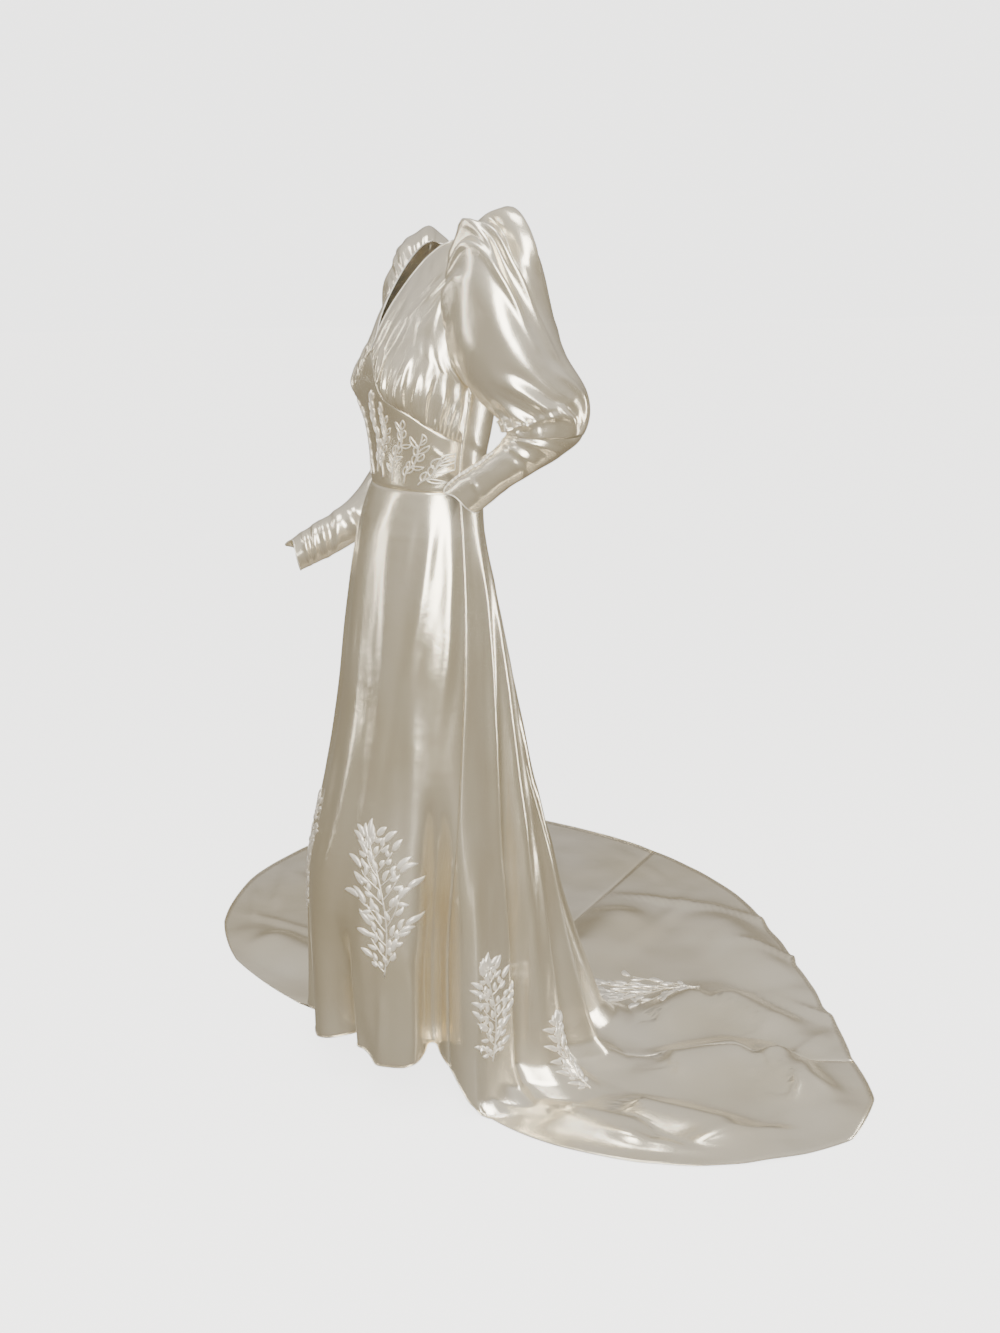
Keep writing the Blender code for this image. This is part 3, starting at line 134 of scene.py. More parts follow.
RIGHT_SLEEVE = (
    (-0.153, 0.049, 1.245, -0.139, 0.060, 1.432, 0.056),
    (-0.163, 0.051, 1.242, -0.166, 0.070, 1.482, 0.063),
    (-0.172, 0.054, 1.238, -0.204, 0.086, 1.500, 0.066),
    (-0.180, 0.059, 1.230, -0.244, 0.110, 1.478, 0.068),
    (-0.185, 0.062, 1.216, -0.272, 0.132, 1.418, 0.068),
    (-0.192, 0.065, 1.194, -0.287, 0.152, 1.342, 0.067),
    (-0.199, 0.061, 1.167, -0.295, 0.160, 1.262, 0.065),
    (-0.207, 0.049, 1.138, -0.297, 0.153, 1.182, 0.061),
    (-0.216, 0.030, 1.106, -0.292, 0.122, 1.098, 0.053),
    (-0.228, 0.006, 1.068, -0.285, 0.076, 1.034, 0.045),
    (-0.250, -0.030, 1.024, -0.276, 0.010, 0.965, 0.038),
    (-0.272, -0.074, 0.988, -0.276, -0.062, 0.918, 0.034),
    (-0.289, -0.114, 0.962, -0.288, -0.104, 0.895, 0.031),
    (-0.301, -0.146, 0.938, -0.299, -0.134, 0.880, 0.028),
)
SLEEVE_SEAM_RING = 8.0
SLEEVE_GATHERS = 9
SLEEVE_GATHER_DEPTH = 0.0055
SLEEVE_GATHER_RINGS = 3.2
CUFF_POINT = 0.020
CUFF_POINT_TURN = 215.0
ARMHOLE_ROWS_FRONT = 6
ARMHOLE_ROWS_BACK = 5
ARMHOLE_INSET = 0.0022
ARMHOLE_OUT = {1.0: (1.0, 0.0, 0.0), -1.0: (-0.99, -0.12, 0.0)}

# Large folds of the sleeves. Columns: ring, angle round the sleeve, ring spread, angle spread, depth.
LEFT_SLEEVE_FOLDS = (
    (2.6, 62.0, 0.9, 17.0, -0.034),
    (3.2, 92.0, 1.0, 15.0, 0.010),
    (4.4, 38.0, 1.2, 11.0, 0.008),
    (4.8, 300.0, 1.6, 16.0, 0.006),
    (6.2, 228.0, 0.8, 20.0, -0.008),
    (7.2, 200.0, 0.5, 30.0, 0.007),
    (7.6, 20.0, 0.6, 22.0, 0.007),
)
RIGHT_SLEEVE_FOLDS = (
    (2.6, 70.0, 0.9, 17.0, -0.016),
    (4.4, 322.0, 1.3, 15.0, 0.008),
    (5.6, 40.0, 1.2, 18.0, 0.007),
    (6.6, 200.0, 0.7, 26.0, 0.006),
)

# Skirt sections. Columns: height, then the reach from the axis in front, left, back and right.
SKIRT = (
    (1.075, 0.087, 0.130, 0.088, 0.130),
    (1.040, 0.101, 0.136, 0.086, 0.136),
    (1.000, 0.113, 0.144, 0.086, 0.142),
    (0.900, 0.126, 0.160, 0.107, 0.160),
    (0.800, 0.135, 0.170, 0.130, 0.180),
    (0.700, 0.145, 0.176, 0.154, 0.200),
    (0.600, 0.163, 0.182, 0.178, 0.212),
    (0.500, 0.184, 0.188, 0.204, 0.222),
    (0.400, 0.206, 0.196, 0.230, 0.230),
    (0.300, 0.209, 0.204, 0.252, 0.240),
    (0.200, 0.205, 0.212, 0.285, 0.255),
    (0.100, 0.202, 0.220, 0.325, 0.275),
    (0.000, 0.200, 0.226, 0.360, 0.295),
)
# Hanging folds. Columns: angle, angle spread, depth at the hem, height where it starts, height where full.
SKIRT_FOLDS = (
    (-100.0, 9.0, 0.028, 0.80, 0.30),
    (-82.0, 8.0, -0.026, 0.75, 0.25),
    (-70.0, 9.0, 0.034, 0.98, 0.62),
    (-57.0, 6.0, -0.030, 0.70, 0.20),
    (-36.0, 14.0, 0.008, 0.62, 0.20),
    (-19.0, 6.0, -0.034, 0.40, 0.10),
    (0.0, 9.0, 0.010, 0.60, 0.20),
    (20.0, 7.5, -0.066, 0.36, 0.10),
    (37.0, 5.5, -0.012, 0.18, 0.07),
    (53.0, 14.0, 0.008, 0.60, 0.15),
    (74.0, 8.0, -0.086, 0.62, 0.28),
    (98.0, 14.0, 0.014, 0.80, 0.20),
    (116.5, 5.5, -0.034, 0.95, 0.20),
    (129.0, 11.0, 0.014, 0.85, 0.20),
    (142.0, 5.5, -0.030, 0.85, 0.20),
    (150.0, 7.0, 0.014, 0.80, 0.20),
    (163.0, 7.5, -0.034, 0.90, 0.25),
    (181.0, 8.0, 0.020, 0.80, 0.25),
    (199.0, 8.0, -0.036, 0.90, 0.25),
    (218.0, 9.0, 0.018, 0.80, 0.25),
    (238.0, 8.0, -0.034, 0.85, 0.25),
)
# Hem of the skirt round the body. Columns: angle, reach on the floor, height of the hem above it.
HEM = (
    (-62.0, 0.33, 0.000),
    (-58.0, 0.24, 0.060),
    (-50.0, 0.18, 0.078),
    (-30.0, 0.18, 0.086),
    (-12.0, 0.18, 0.090),
    (0.0, 0.18, 0.080),
    (20.0, 0.18, 0.100),
    (34.0, 0.18, 0.100),
    (44.0, 0.18, 0.084),
    (58.0, 0.18, 0.090),
    (66.0, 0.18, 0.100),
    (76.0, 0.18, 0.090),
    (82.0, 0.18, 0.066),
    (87.0, 0.20, 0.024),
    (92.0, 0.24, 0.000),
    (97.0, 0.32, 0.000),
    (102.0, 0.39, 0.000),
    (108.0, 0.47, 0.000),
    (117.0, 0.59, 0.000),
    (126.0, 0.69, 0.000),
    (135.0, 0.78, 0.000),
    (146.0, 0.81, 0.000),
    (157.0, 0.79, 0.000),
    (172.0, 0.81, 0.000),
    (184.0, 0.86, 0.000),
    (195.0, 0.95, 0.000),
    (205.0, 1.06, 0.000),
    (219.0, 1.20, 0.000),
    (228.0, 1.28, 0.000),
    (236.0, 1.34, 0.000),
    (250.0, 1.30, 0.000),
    (262.0, 1.16, 0.000),
    (272.0, 1.00, 0.000),
    (284.0, 0.77, 0.000),
    (292.0, 0.58, 0.000),
    (298.0, 0.33, 0.000),
    (302.0, 0.24, 0.060),
)
FLOOR_BEND = 0.10
FOLD_POWER = 2.5
DROP_STEPS = 44
HANG_ALLOWANCE = 0.07
ROW_POWER = 0.6
# Ridges of the train. Columns: angle and reach at the start, angle and reach at the end, half width, height.
TRAIN_RIDGES = (
    (110.0, 0.30, 119.0, 0.50, 0.045, 0.030),
    (125.0, 0.38, 128.0, 0.64, 0.050, 0.034),
    (147.0, 0.42, 158.0, 0.62, 0.055, 0.032),
    (158.0, 0.62, 142.0, 0.72, 0.050, 0.036),
    (172.0, 0.43, 181.0, 0.62, 0.050, 0.028),
    (181.0, 0.62, 163.0, 0.70, 0.052, 0.030),
    (205.0, 0.92, 178.0, 0.78, 0.060, 0.024),
    (209.0, 0.50, 214.0, 0.84, 0.065, 0.024),
    (232.0, 0.48, 238.0, 0.90, 0.075, 0.022),
    (256.0, 0.46, 262.0, 0.84, 0.070, 0.020),
    (277.0, 0.42, 282.0, 0.66, 0.050, 0.020),
)
# Skirt panels. Columns: node, start angle at waist and hem, end angle at waist and hem, columns, rows.
SKIRT_PANELS = (
    ("skirt_front", -93.0, -62.0, 93.0, 81.0, 190, 155),
    ("skirt_side_back_left", 93.0, 81.0, 140.0, 156.0, 110, 180),
    ("skirt_back_left", 140.0, 156.0, 180.0, 220.0, 100, 180),
    ("skirt_back_right", 180.0, 220.0, 220.0, 250.0, 66, 140),
    ("skirt_side_back_right", 220.0, 250.0, 267.0, 298.0, 80, 140),
)


def smooth_step(value):
    value = np.clip(value, 0.0, 1.0)
    return value * value * (3.0 - 2.0 * value)


def lerp(first, last, part):
    return first + (last - first) * part


def unit(vectors):
    return vectors / np.maximum(np.linalg.norm(vectors, axis=-1, keepdims=True), 1e-12)


def smooth_table(rows, keys):
    """Rows of a table at keys between its rows, along smooth curves."""
    table = np.array(rows, float)
    if table[-1, 0] < table[0, 0]:
        table = table[::-1]
    spots, values = table[:, 0], table[:, 1:]
    slopes = np.empty_like(values)
    slopes[1:-1] = (values[2:] - values[:-2]) / (spots[2:] - spots[:-2])[:, None]
    slopes[0] = (values[1] - values[0]) / (spots[1] - spots[0])
    slopes[-1] = (values[-1] - values[-2]) / (spots[-1] - spots[-2])
    keys = np.clip(np.asarray(keys, float), spots[0], spots[-1])
    place = np.clip(np.searchsorted(spots, keys, side="right") - 1, 0, len(spots) - 2)
    span = (spots[place + 1] - spots[place])[..., None]
    part = (keys - spots[place])[..., None] / span
    return (
        values[place] * (2 * part ** 3 - 3 * part ** 2 + 1)
        + values[place + 1] * (3 * part ** 2 - 2 * part ** 3)
        + slopes[place] * span * (part ** 3 - 2 * part ** 2 + part)
        + slopes[place + 1] * span * (part ** 3 - part ** 2)
    )


def edge_line(*parts):
    """Edge of a panel as knots: share of its rows, turn and height."""
    shares, turns, heights = [], [], []
    start = 0.0
    for share, points in parts:
        points = np.array(points, float)
        line = smooth_table(
            np.column_stack((np.arange(len(points)), points)), np.linspace(0, len(points) - 1, 8 * (len(points) - 1) + 1)
        )
        steps = np.linalg.norm(np.diff(line * np.array([TURN_SCALE, 1.0]), axis=0), axis=1)
        reach = np.concatenate(([0.0], np.cumsum(steps)))
        shares.append(start + (share - start) * reach / reach[-1])
        turns.append(line[:, 0])
        heights.append(line[:, 1])
        start = share
    return np.concatenate(shares), np.concatenate(turns), np.concatenate(heights)


def along(line, part):
    """Turn and height of an edge at shares of its rows."""
    shares, turns, heights = line
    return np.stack((np.interp(part, shares, turns), np.interp(part, shares, heights)), axis=-1)


def torso_points(turn, height):
    """Inner face of the bodice at turns from centre front and heights."""
    turn, height = np.broadcast_arrays(turn, height)
    side, front, back, shift = np.moveaxis(smooth_table(TORSO, height), -1, 0)
    angle = np.radians(turn)
    depth = np.where(np.cos(angle) > 0.0, front, back)
    x = side * np.sin(angle)
    y = -depth * np.cos(angle) + shift
    for centre in (-BUST_TURN, BUST_TURN):
        swell = BUST_FULLNESS * np.exp(
            -((turn - centre) / BUST_SPREAD_TURN) ** 2 - ((height - BUST_HEIGHT) / BUST_SPREAD_HEIGHT) ** 2
        )
        y = y - swell
        x = x + 0.25 * swell * math.copysign(1.0, centre)
    low, high = SET_BACK_HEIGHTS
    drawn = np.where(x < 0.0, x ** 2 / (SET_BACK_START + np.abs(x)), 0.0)
    y = y + SHOULDER_SET_BACK * drawn * smooth_step((height - low) / (high - low))
    return np.stack((x, y, height), axis=-1)


def torso_normals(turn, height):
    step_turn = torso_points(turn + 0.5, height) - torso_points(turn - 0.5, height)
    step_up = torso_points(turn, height + 0.002) - torso_points(turn, height - 0.002)
    return unit(np.cross(step_turn, step_up))


def coons(edges, across, up):
    """Turns and heights of a four-sided area from its four edges."""
    bottom, top, start, end = edges
    a, u = across[..., None], up[..., None]
    corners = (
        (1 - a) * (1 - u) * along(bottom, 0.0) + a * (1 - u) * along(bottom, 1.0)
        + (1 - a) * u * along(top, 0.0) + a * u * along(top, 1.0)
    )
    return (
        (1 - u) * along(bottom, across) + u * along(top, across)
        + (1 - a) * along(start, up) + a * along(end, up) - corners
    )


BUST_EDGES = (
    edge_line((1.0, YOKE_TOP)),
    edge_line((1.0, SHOULDER_FRONT)),
    edge_line((1.0 / 9.0, NECK_FRONT[:2]), (1.0, NECK_FRONT[1:])),
    edge_line((3.0 / 9.0, SIDE_SEAM_HIGH), (1.0, ARMHOLE_FRONT)),
)
YOKE_EDGES = (
    edge_line((1.0, ((0.0, WAIST_HEIGHT), (93.0, WAIST_HEIGHT)))),
    edge_line((1.0, YOKE_TOP)),
    edge_line((1.0, ((0.0, WAIST_HEIGHT), (0.0, 1.298)))),
    edge_line((1.0, SIDE_SEAM_LOW)),
)
BACK_SIDE = edge_line(
    (2.0 / 11.0, SIDE_SEAM_LOW), (4.0 / 11.0, SIDE_SEAM_HIGH), (9.0 / 11.0, ARMHOLE_BACK), (1.0, SHOULDER_BACK)
)
ARMHOLE_LINES = (edge_line((1.0, ARMHOLE_FRONT)), edge_line((1.0, ARMHOLE_BACK)))


def value_noise(x, y, seed):
    """Smooth noise between -1 and 1 with features about one unit wide."""
    table = np.random.RandomState(seed).uniform(-1.0, 1.0, (64, 64))
    i, j = np.floor(x).astype(int), np.floor(y).astype(int)
    p, q = smooth_step(x - i), smooth_step(y - j)
    corner = lambda a, b: table[(i + a) % 64, (j + b) % 64]
    low = lerp(corner(0, 0), corner(1, 0), p)
    high = lerp(corner(0, 1), corner(1, 1), p)
    return lerp(low, high, q)


def creases(first, second, first_scale, second_scale, rows):
    """Height of soft creases. Rows: first and second coordinate at both ends, bow, half width, height."""
    total = np.zeros(np.broadcast(first, second).shape)
    for a0, b0, a1, b1, bow, width, height in rows:
        x = ((first - a0 + 180.0) % 360.0 - 180.0) * first_scale
        y = (second - b0) * second_scale
        end_x = (a1 - a0) * first_scale
        end_y = (b1 - b0) * second_scale
        length = np.maximum(np.hypot(end_x, end_y), 1e-6)
        way = (x * end_x + y * end_y) / length ** 2
        part = np.clip(way, 0.0, 1.0)
        off = (x * end_y - y * end_x) / length - bow * 4.0 * part * (1.0 - part)
        past = (way - part) * length
        taper = 0.25 + 0.75 * smooth_step(np.minimum(part, 1.0 - part) / 0.3)
        line = np.exp(-(off / width) ** 2) - 0.38 * np.exp(-((off - 1.7 * width) / width) ** 2)
        total += height * line * taper * np.exp(-(past / (1.5 * width)) ** 2)
    return total


def wrapped_gradient(grid, axis, closed):
    if not closed:
        return np.gradient(grid, axis=axis)
    return 0.5 * (np.roll(grid, -1, axis=axis) - np.roll(grid, 1, axis=axis))


def grid_normals(grid, like, closed=False):
    """Normals of a grid of points, on the side that like points to."""
    normals = unit(np.cross(wrapped_gradient(grid, 1, closed), wrapped_gradient(grid, 0, False)))
    flip = np.sign(np.sum(normals * like, axis=-1, keepdims=True))
    return normals * np.where(flip == 0.0, 1.0, flip)


def distance_along(grid, axis, closed=False):
    steps = np.linalg.norm(np.diff(grid, axis=axis), axis=-1)
    pad = np.zeros_like(np.take(steps, [0], axis=axis))
    return np.concatenate((pad, np.cumsum(steps, axis=axis)), axis=axis)


CLOTHS = {}


def add_mesh(name, points, faces, material, uvs=None):
    mesh = bpy.data.meshes.new(name)
    points = np.asarray(points, float).reshape(-1, 3) - np.array([0.0, 0.0, HOLD_HEIGHT])
    mesh.from_pydata(points.tolist(), [], faces if isinstance(faces, list) else faces.tolist())
    mesh.polygons.foreach_set("use_smooth", [True] * len(mesh.polygons))
    if uvs is not None:
        layer = mesh.uv_layers.new(name="weave")
        loops = np.zeros(len(mesh.loops), int)
        mesh.loops.foreach_get("vertex_index", loops)
        layer.data.foreach_set("uv", np.asarray(uvs)[loops].astype(np.float32).ravel())
    mesh.materials.append(material)
    mesh.update()
    piece = bpy.data.objects.new(name, mesh)
    bpy.context.scene.collection.objects.link(piece)
    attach(piece, "root")
    return piece


def add_cloth(name, node, base, like, lift, material, closed=False, seams=(), floor=False):
    """Thin shell over a grid of base points. Seams names the sides that are sewn: left, right, top, bottom."""
    normals = grid_normals(base, like, closed)
    outer = base + normals * (CLOTH_LIFT + lift)[..., None]
    if floor:
        outer[..., 2] = np.maximum(outer[..., 2], CLOTH + 0.0004)
    normals = grid_normals(outer, like, closed)
    over = distance_along(outer, 1)
    down = distance_along(outer, 0)
    gaps = {
        "left": over, "right": over[:, -1:] - over, "top": down, "bottom": down[-1:] - down,
    }
    dip = np.zeros(over.shape)
    for side in seams:
        dip = np.maximum(dip, np.exp(-(gaps[side] / SEAM_DIP_WIDTH) ** 2))
    outer = outer - normals * (SEAM_DIP * dip)[..., None]
    inner = outer - normals * CLOTH
    rows, columns = over.shape
    count = rows * columns
    index = np.arange(count).reshape(rows, columns)
    right = np.roll(index, -1, axis=1) if closed else index[:, 1:]
    left = index if closed else index[:, :-1]
    quads = np.stack((left[:-1], left[1:], right[1:], right[:-1]), axis=-1).reshape(-1, 4)
    faces = [quads, quads[:, ::-1] + count]
    rims = [(left[0], right[0]), (right[-1], left[-1])]
    if not closed:
        rims += [(index[1:, 0], index[:-1, 0]), (index[:-1, -1], index[1:, -1])]
    for start, end in rims:
        faces.append(np.stack((start, end, end + count, start + count), axis=-1))
    faces = np.concatenate(faces)
    sample = quads[len(quads) // 2]
    spots = outer.reshape(-1, 3)[sample]
    turned = np.dot(np.cross(spots[1] - spots[0], spots[2] - spots[0]), normals.reshape(-1, 3)[sample[0]])
    if turned < 0.0:
        faces = faces[:, ::-1]
    middle = over[:, columns // 2:columns // 2 + 1]
    uv = np.stack((over - middle, down), axis=-1).reshape(-1, 2)
    piece = add_mesh(name, np.concatenate((outer.reshape(-1, 3), inner.reshape(-1, 3))), faces, material,
                     np.concatenate((uv, uv)))
    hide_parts(node)
    area = float(np.sum(np.linalg.norm(np.cross(
        outer[1:, :-1] - outer[:-1, :-1], outer[:-1, 1:] - outer[:-1, :-1]), axis=-1)))
    if closed:
        area += float(np.sum(np.linalg.norm(np.cross(outer[1:, -1] - outer[:-1, -1], outer[:-1, 0] - outer[:-1, -1]), axis=-1)))
    CLOTHS[name] = {"outer": outer, "normals": normals, "closed": closed, "area": area, "piece": piece}
    print("cloth", name, "width", round(float(over[:, -1].max()), 3), "length", round(float(down[-1].max()), 3),
          "area", round(area, 4))
    return piece


def surface(name, row_share, column_share):
    """Points and normals of a cloth at shares of its rows and columns."""
    cloth = CLOTHS[name]
    grid, normals = cloth["outer"], cloth["normals"]
    rows, columns = grid.shape[:2]
    width = columns if cloth["closed"] else columns - 1
    i = np.clip(row_share, 0.0, 1.0) * (rows - 1)
    j = column_share * width
    if not cloth["closed"]:
        j = np.clip(j, 0.0, columns - 1.001)
    i0 = np.minimum(np.floor(i).astype(int), rows - 2)
    j0 = np.floor(j).astype(int)
    p, q = (i - i0)[..., None], (j - j0)[..., None]
    j1 = (j0 + 1) % columns
    j0 = j0 % columns
    values = []
    for field in (grid, normals):
        low = lerp(field[i0, j0], field[i0, j1], q)
        high = lerp(field[i0 + 1, j0], field[i0 + 1, j1], q)
        values.append(lerp(low, high, p))
    return values[0], unit(values[1])


# Materials of the cloth.
IVORY = (0.88, 0.815, 0.67, 1.0)
CHAMPAGNE = (0.77, 0.69, 0.51, 1.0)


def new_material(name):
    material = bpy.data.materials.new(name)
    material.use_nodes = True
    return material, material.node_tree.nodes, material.node_tree.links


def satin_material(name, pale, deep, roughness, metallic):
    """Satin: long floats of the weave, soft small creases and a slow drift of colour."""
    material, nodes, links = new_material(name)
    shader = nodes["Principled BSDF"]
    shader.inputs["Metallic"].default_value = metallic
    shader.inputs["Specular IOR Level"].default_value = 0.7
    shader.inputs["Anisotropic"].default_value = 0.35
    shader.inputs["Sheen Weight"].default_value = 0.04
    shader.inputs["Sheen Roughness"].default_value = 0.35
    place = nodes.new("ShaderNodeTexCoord")
    drift = nodes.new("ShaderNodeTexNoise")
    drift.inputs["Scale"].default_value = 3.2
    drift.inputs["Detail"].default_value = 3.0
    links.new(place.outputs["Object"], drift.inputs["Vector"])
    colours = nodes.new("ShaderNodeValToRGB")
    colours.color_ramp.elements[0].position = 0.30
    colours.color_ramp.elements[0].color = deep
    colours.color_ramp.elements[1].position = 0.62
    colours.color_ramp.elements[1].color = pale
    links.new(drift.outputs["Fac"], colours.inputs["Fac"])
    links.new(colours.outputs["Color"], shader.inputs["Base Color"])
    gloss = nodes.new("ShaderNodeMapRange")
    gloss.inputs["To Min"].default_value = roughness - 0.04
    gloss.inputs["To Max"].default_value = roughness + 0.06
    links.new(drift.outputs["Fac"], gloss.inputs["Value"])
    links.new(gloss.outputs["Result"], shader.inputs["Roughness"])
    small = nodes.new("ShaderNodeTexNoise")
    small.inputs["Scale"].default_value = 26.0
    small.inputs["Detail"].default_value = 4.0
    small.inputs["Roughness"].default_value = 0.55
    links.new(place.outputs["Object"], small.inputs["Vector"])
    soft = nodes.new("ShaderNodeBump")
    soft.inputs["Strength"].default_value = 0.16
    soft.inputs["Distance"].default_value = 0.004
    links.new(small.outputs["Fac"], soft.inputs["Height"])
    stretch = nodes.new("ShaderNodeMapping")
    stretch.inputs["Scale"].default_value = (2600.0, 130.0, 1.0)
    links.new(place.outputs["UV"], stretch.inputs["Vector"])
    floats = nodes.new("ShaderNodeTexNoise")
    floats.inputs["Scale"].default_value = 1.0
    floats.inputs["Detail"].default_value = 1.0
    links.new(stretch.outputs["Vector"], floats.inputs["Vector"])
    weave = nodes.new("ShaderNodeBump")
    weave.inputs["Strength"].default_value = 0.10
    weave.inputs["Distance"].default_value = 0.0002
    links.new(floats.outputs["Fac"], weave.inputs["Height"])
    links.new(soft.outputs["Normal"], weave.inputs["Normal"])
    links.new(weave.outputs["Normal"], shader.inputs["Normal"])
    return material


SATIN = satin_material("gown_satin", IVORY, CHAMPAGNE, 0.23, 0.82)
TRIM = satin_material("trim_satin", (0.90, 0.85, 0.75, 1.0), (0.84, 0.78, 0.66, 1.0), 0.30, 0.50)


# Bodice. Small creases of a bust panel: turn and height at both ends, bow, half width, height.
BUST_CREASES = (
    (86.0, 1.466, 40.0, 1.400, 0.004, 0.0045, 0.0030),
    (87.0, 1.462, 34.0, 1.360, 0.005, 0.0050, 0.0026),
    (88.0, 1.452, 44.0, 1.340, 0.006, 0.0060, 0.0016),
    (30.0, 1.222, 27.0, 1.300, 0.002, 0.0040, 0.0026),
    (36.0, 1.216, 38.0, 1.286, -0.002, 0.0045, 0.0030),
    (43.0, 1.206, 46.0, 1.296, 0.002, 0.0040, 0.0026),
    (50.0, 1.198, 56.0, 1.274, 0.003, 0.0042, 0.0030),
    (58.0, 1.188, 66.0, 1.262, -0.002, 0.0040, 0.0024),
    (67.0, 1.176, 76.0, 1.240, 0.002, 0.0038, 0.0024),
    (77.0, 1.170, 85.0, 1.222, 0.001, 0.0036, 0.0022),
    (18.0, 1.254, 15.0, 1.318, 0.002, 0.0036, 0.0020),
)
YOKE_CREASES = (
    (62.0, 1.150, 88.0, 1.120, 0.003, 0.0050, 0.0012),
    (50.0, 1.090, 84.0, 1.112, 0.003, 0.0060, 0.0010),
    (-60.0, 1.150, -86.0, 1.118, 0.003, 0.0050, 0.0010),
)
BACK_CREASES = (
    (150.0, 1.100, 172.0, 1.180, 0.004, 0.010, 0.0022),
    (205.0, 1.180, 222.0, 1.100, 0.004, 0.010, 0.0022),
    (118.0, 1.290, 150.0, 1.240, 0.006, 0.010, 0.0020),
    (118.0, 1.330, 160.0, 1.330, -0.006, 0.012, 0.0018),
    (242.0, 1.290, 212.0, 1.240, 0.006, 0.010, 0.0020),
    (242.0, 1.330, 200.0, 1.330, -0.006, 0.012, 0.0018),
    (100.0, 1.170, 128.0, 1.140, 0.004, 0.008, 0.0018),
)


def bust_folds(across, up):
    gathers = 0.5 - 0.5 * np.cos(2.0 * math.pi * BUST_GATHERS * across)
    low = gathers * BUST_GATHER_DEPTH * smooth_step(up / 0.07) * (1.0 - smooth_step((up - 0.12) / 0.42))
    folds = 0.5 - 0.5 * np.cos(2.0 * math.pi * NECK_FOLDS * np.minimum(1.0, across / 0.75))
    high = folds * NECK_FOLD_DEPTH * smooth_step((up - 0.45) / 0.25) * (1.0 - smooth_step((up - 0.93) / 0.07))
    return (low + high) * smooth_step(np.minimum(across, 1.0 - across) / 0.04)


def add_bodice():
    metres_per_turn = 0.0021
    for side, word in ((1.0, "left"), (-1.0, "right")):
        across, up = np.meshgrid(np.linspace(0.0008, 0.9992, 150), np.linspace(0.001, 1.0, 96))
        spots = coons(BUST_EDGES, across, up)
        turn, height = side * spots[..., 0], spots[..., 1]
        normals = torso_normals(turn, height)
        base = torso_points(turn, height) + bust_folds(across, up)[..., None] * normals
        fine = 0.5 - 0.5 * np.cos(2.0 * math.pi * (26.0 * across + 1.4 * np.sin(9.0 * across)))
        reach = 0.10 + 0.10 * np.abs(value_noise(across * 23.0, across * 0.0, 5))
        lift = fine * 0.0016 * smooth_step(up / 0.02) * (1.0 - smooth_step((up - 0.02) / reach))
        rows = [(side * row[0], row[1], side * row[2], row[3], side * row[4], row[5], row[6]) for row in BUST_CREASES]
        lift = lift + creases(turn, height, metres_per_turn, 1.0, rows)
        lift = lift + 0.0007 * value_noise(turn / 7.0, height / 0.022, 11)
        lift = lift * smooth_step(np.minimum(across, 1.0 - across) / 0.03 + 0.15)
        add_cloth("bodice_front_" + word + "_cloth", "bodice_front_" + word, base, normals, lift, SATIN,
                  seams=("right", "top", "bottom"))
    part, up = np.meshgrid(np.linspace(-0.9993, 0.9993, 150), np.linspace(0.001, 0.999, 48))
    spots = coons(YOKE_EDGES, np.abs(part), up)
    turn, height = np.copysign(spots[..., 0], part), spots[..., 1]
    lift = creases(turn, height, metres_per_turn, 1.0, YOKE_CREASES) + 0.0004 * value_noise(turn / 8.0, height / 0.03, 3)
    add_cloth("midriff_yoke_cloth", "midriff_yoke", torso_points(turn, height), torso_normals(turn, height), lift, SATIN,
              seams=("left", "right", "top", "bottom"))
    part, up = np.meshgrid(np.linspace(-0.9992, 0.9992, 104), np.linspace(0.001, 1.0, 76))
    across = 1.0 - np.abs(part)
    line = along(BACK_SIDE, up)
    share = (line[..., 1] - WAIST_HEIGHT) / (SHOULDER_BACK[-1][1] - WAIST_HEIGHT)
    middle = WAIST_HEIGHT + share * (BACK_NECK_HEIGHT - WAIST_HEIGHT)
    turn = lerp(line[..., 0], 180.0, across)
    height = lerp(line[..., 1], middle, smooth_step(across))
    turn = np.where(part < 0.0, turn, 360.0 - turn)
    lift = creases(turn, height, metres_per_turn, 1.0, BACK_CREASES) + 0.0009 * value_noise(turn / 11.0, height / 0.045, 8)
    lift = lift * smooth_step((1.0 - np.abs(part)) / 0.05)
    add_cloth("bodice_back_cloth", "bodice_back", torso_points(turn, height), torso_normals(turn, height), lift, SATIN,
              seams=("left", "right", "bottom"))


def armhole_points(side, turn):
    """Points of the armhole edge at angles round the sleeve, 0 at the shoulder and 90 at the back."""
    turn = turn % 360.0
    points = np.zeros(turn.shape + (3,))
    for behind, line, rows in ((True, ARMHOLE_LINES[1], ARMHOLE_ROWS_BACK), (False, ARMHOLE_LINES[0], ARMHOLE_ROWS_FRONT)):
        chosen = (turn <= 180.0) if behind else (turn > 180.0)
        place = np.where(chosen, (1.0 - turn / 180.0) if behind else (turn - 180.0) / 180.0, 0.0)
        step = np.minimum(rows - 1, (place * rows).astype(int))
        first, last = along(line, step / rows), along(line, (step + 1) / rows)
        part = (place * rows - step)[..., None]
        spots = lerp(
            torso_points(side * first[..., 0], first[..., 1]), torso_points(side * last[..., 0], last[..., 1]), part
        )
        points = np.where(chosen[..., None], spots, points)
    return points


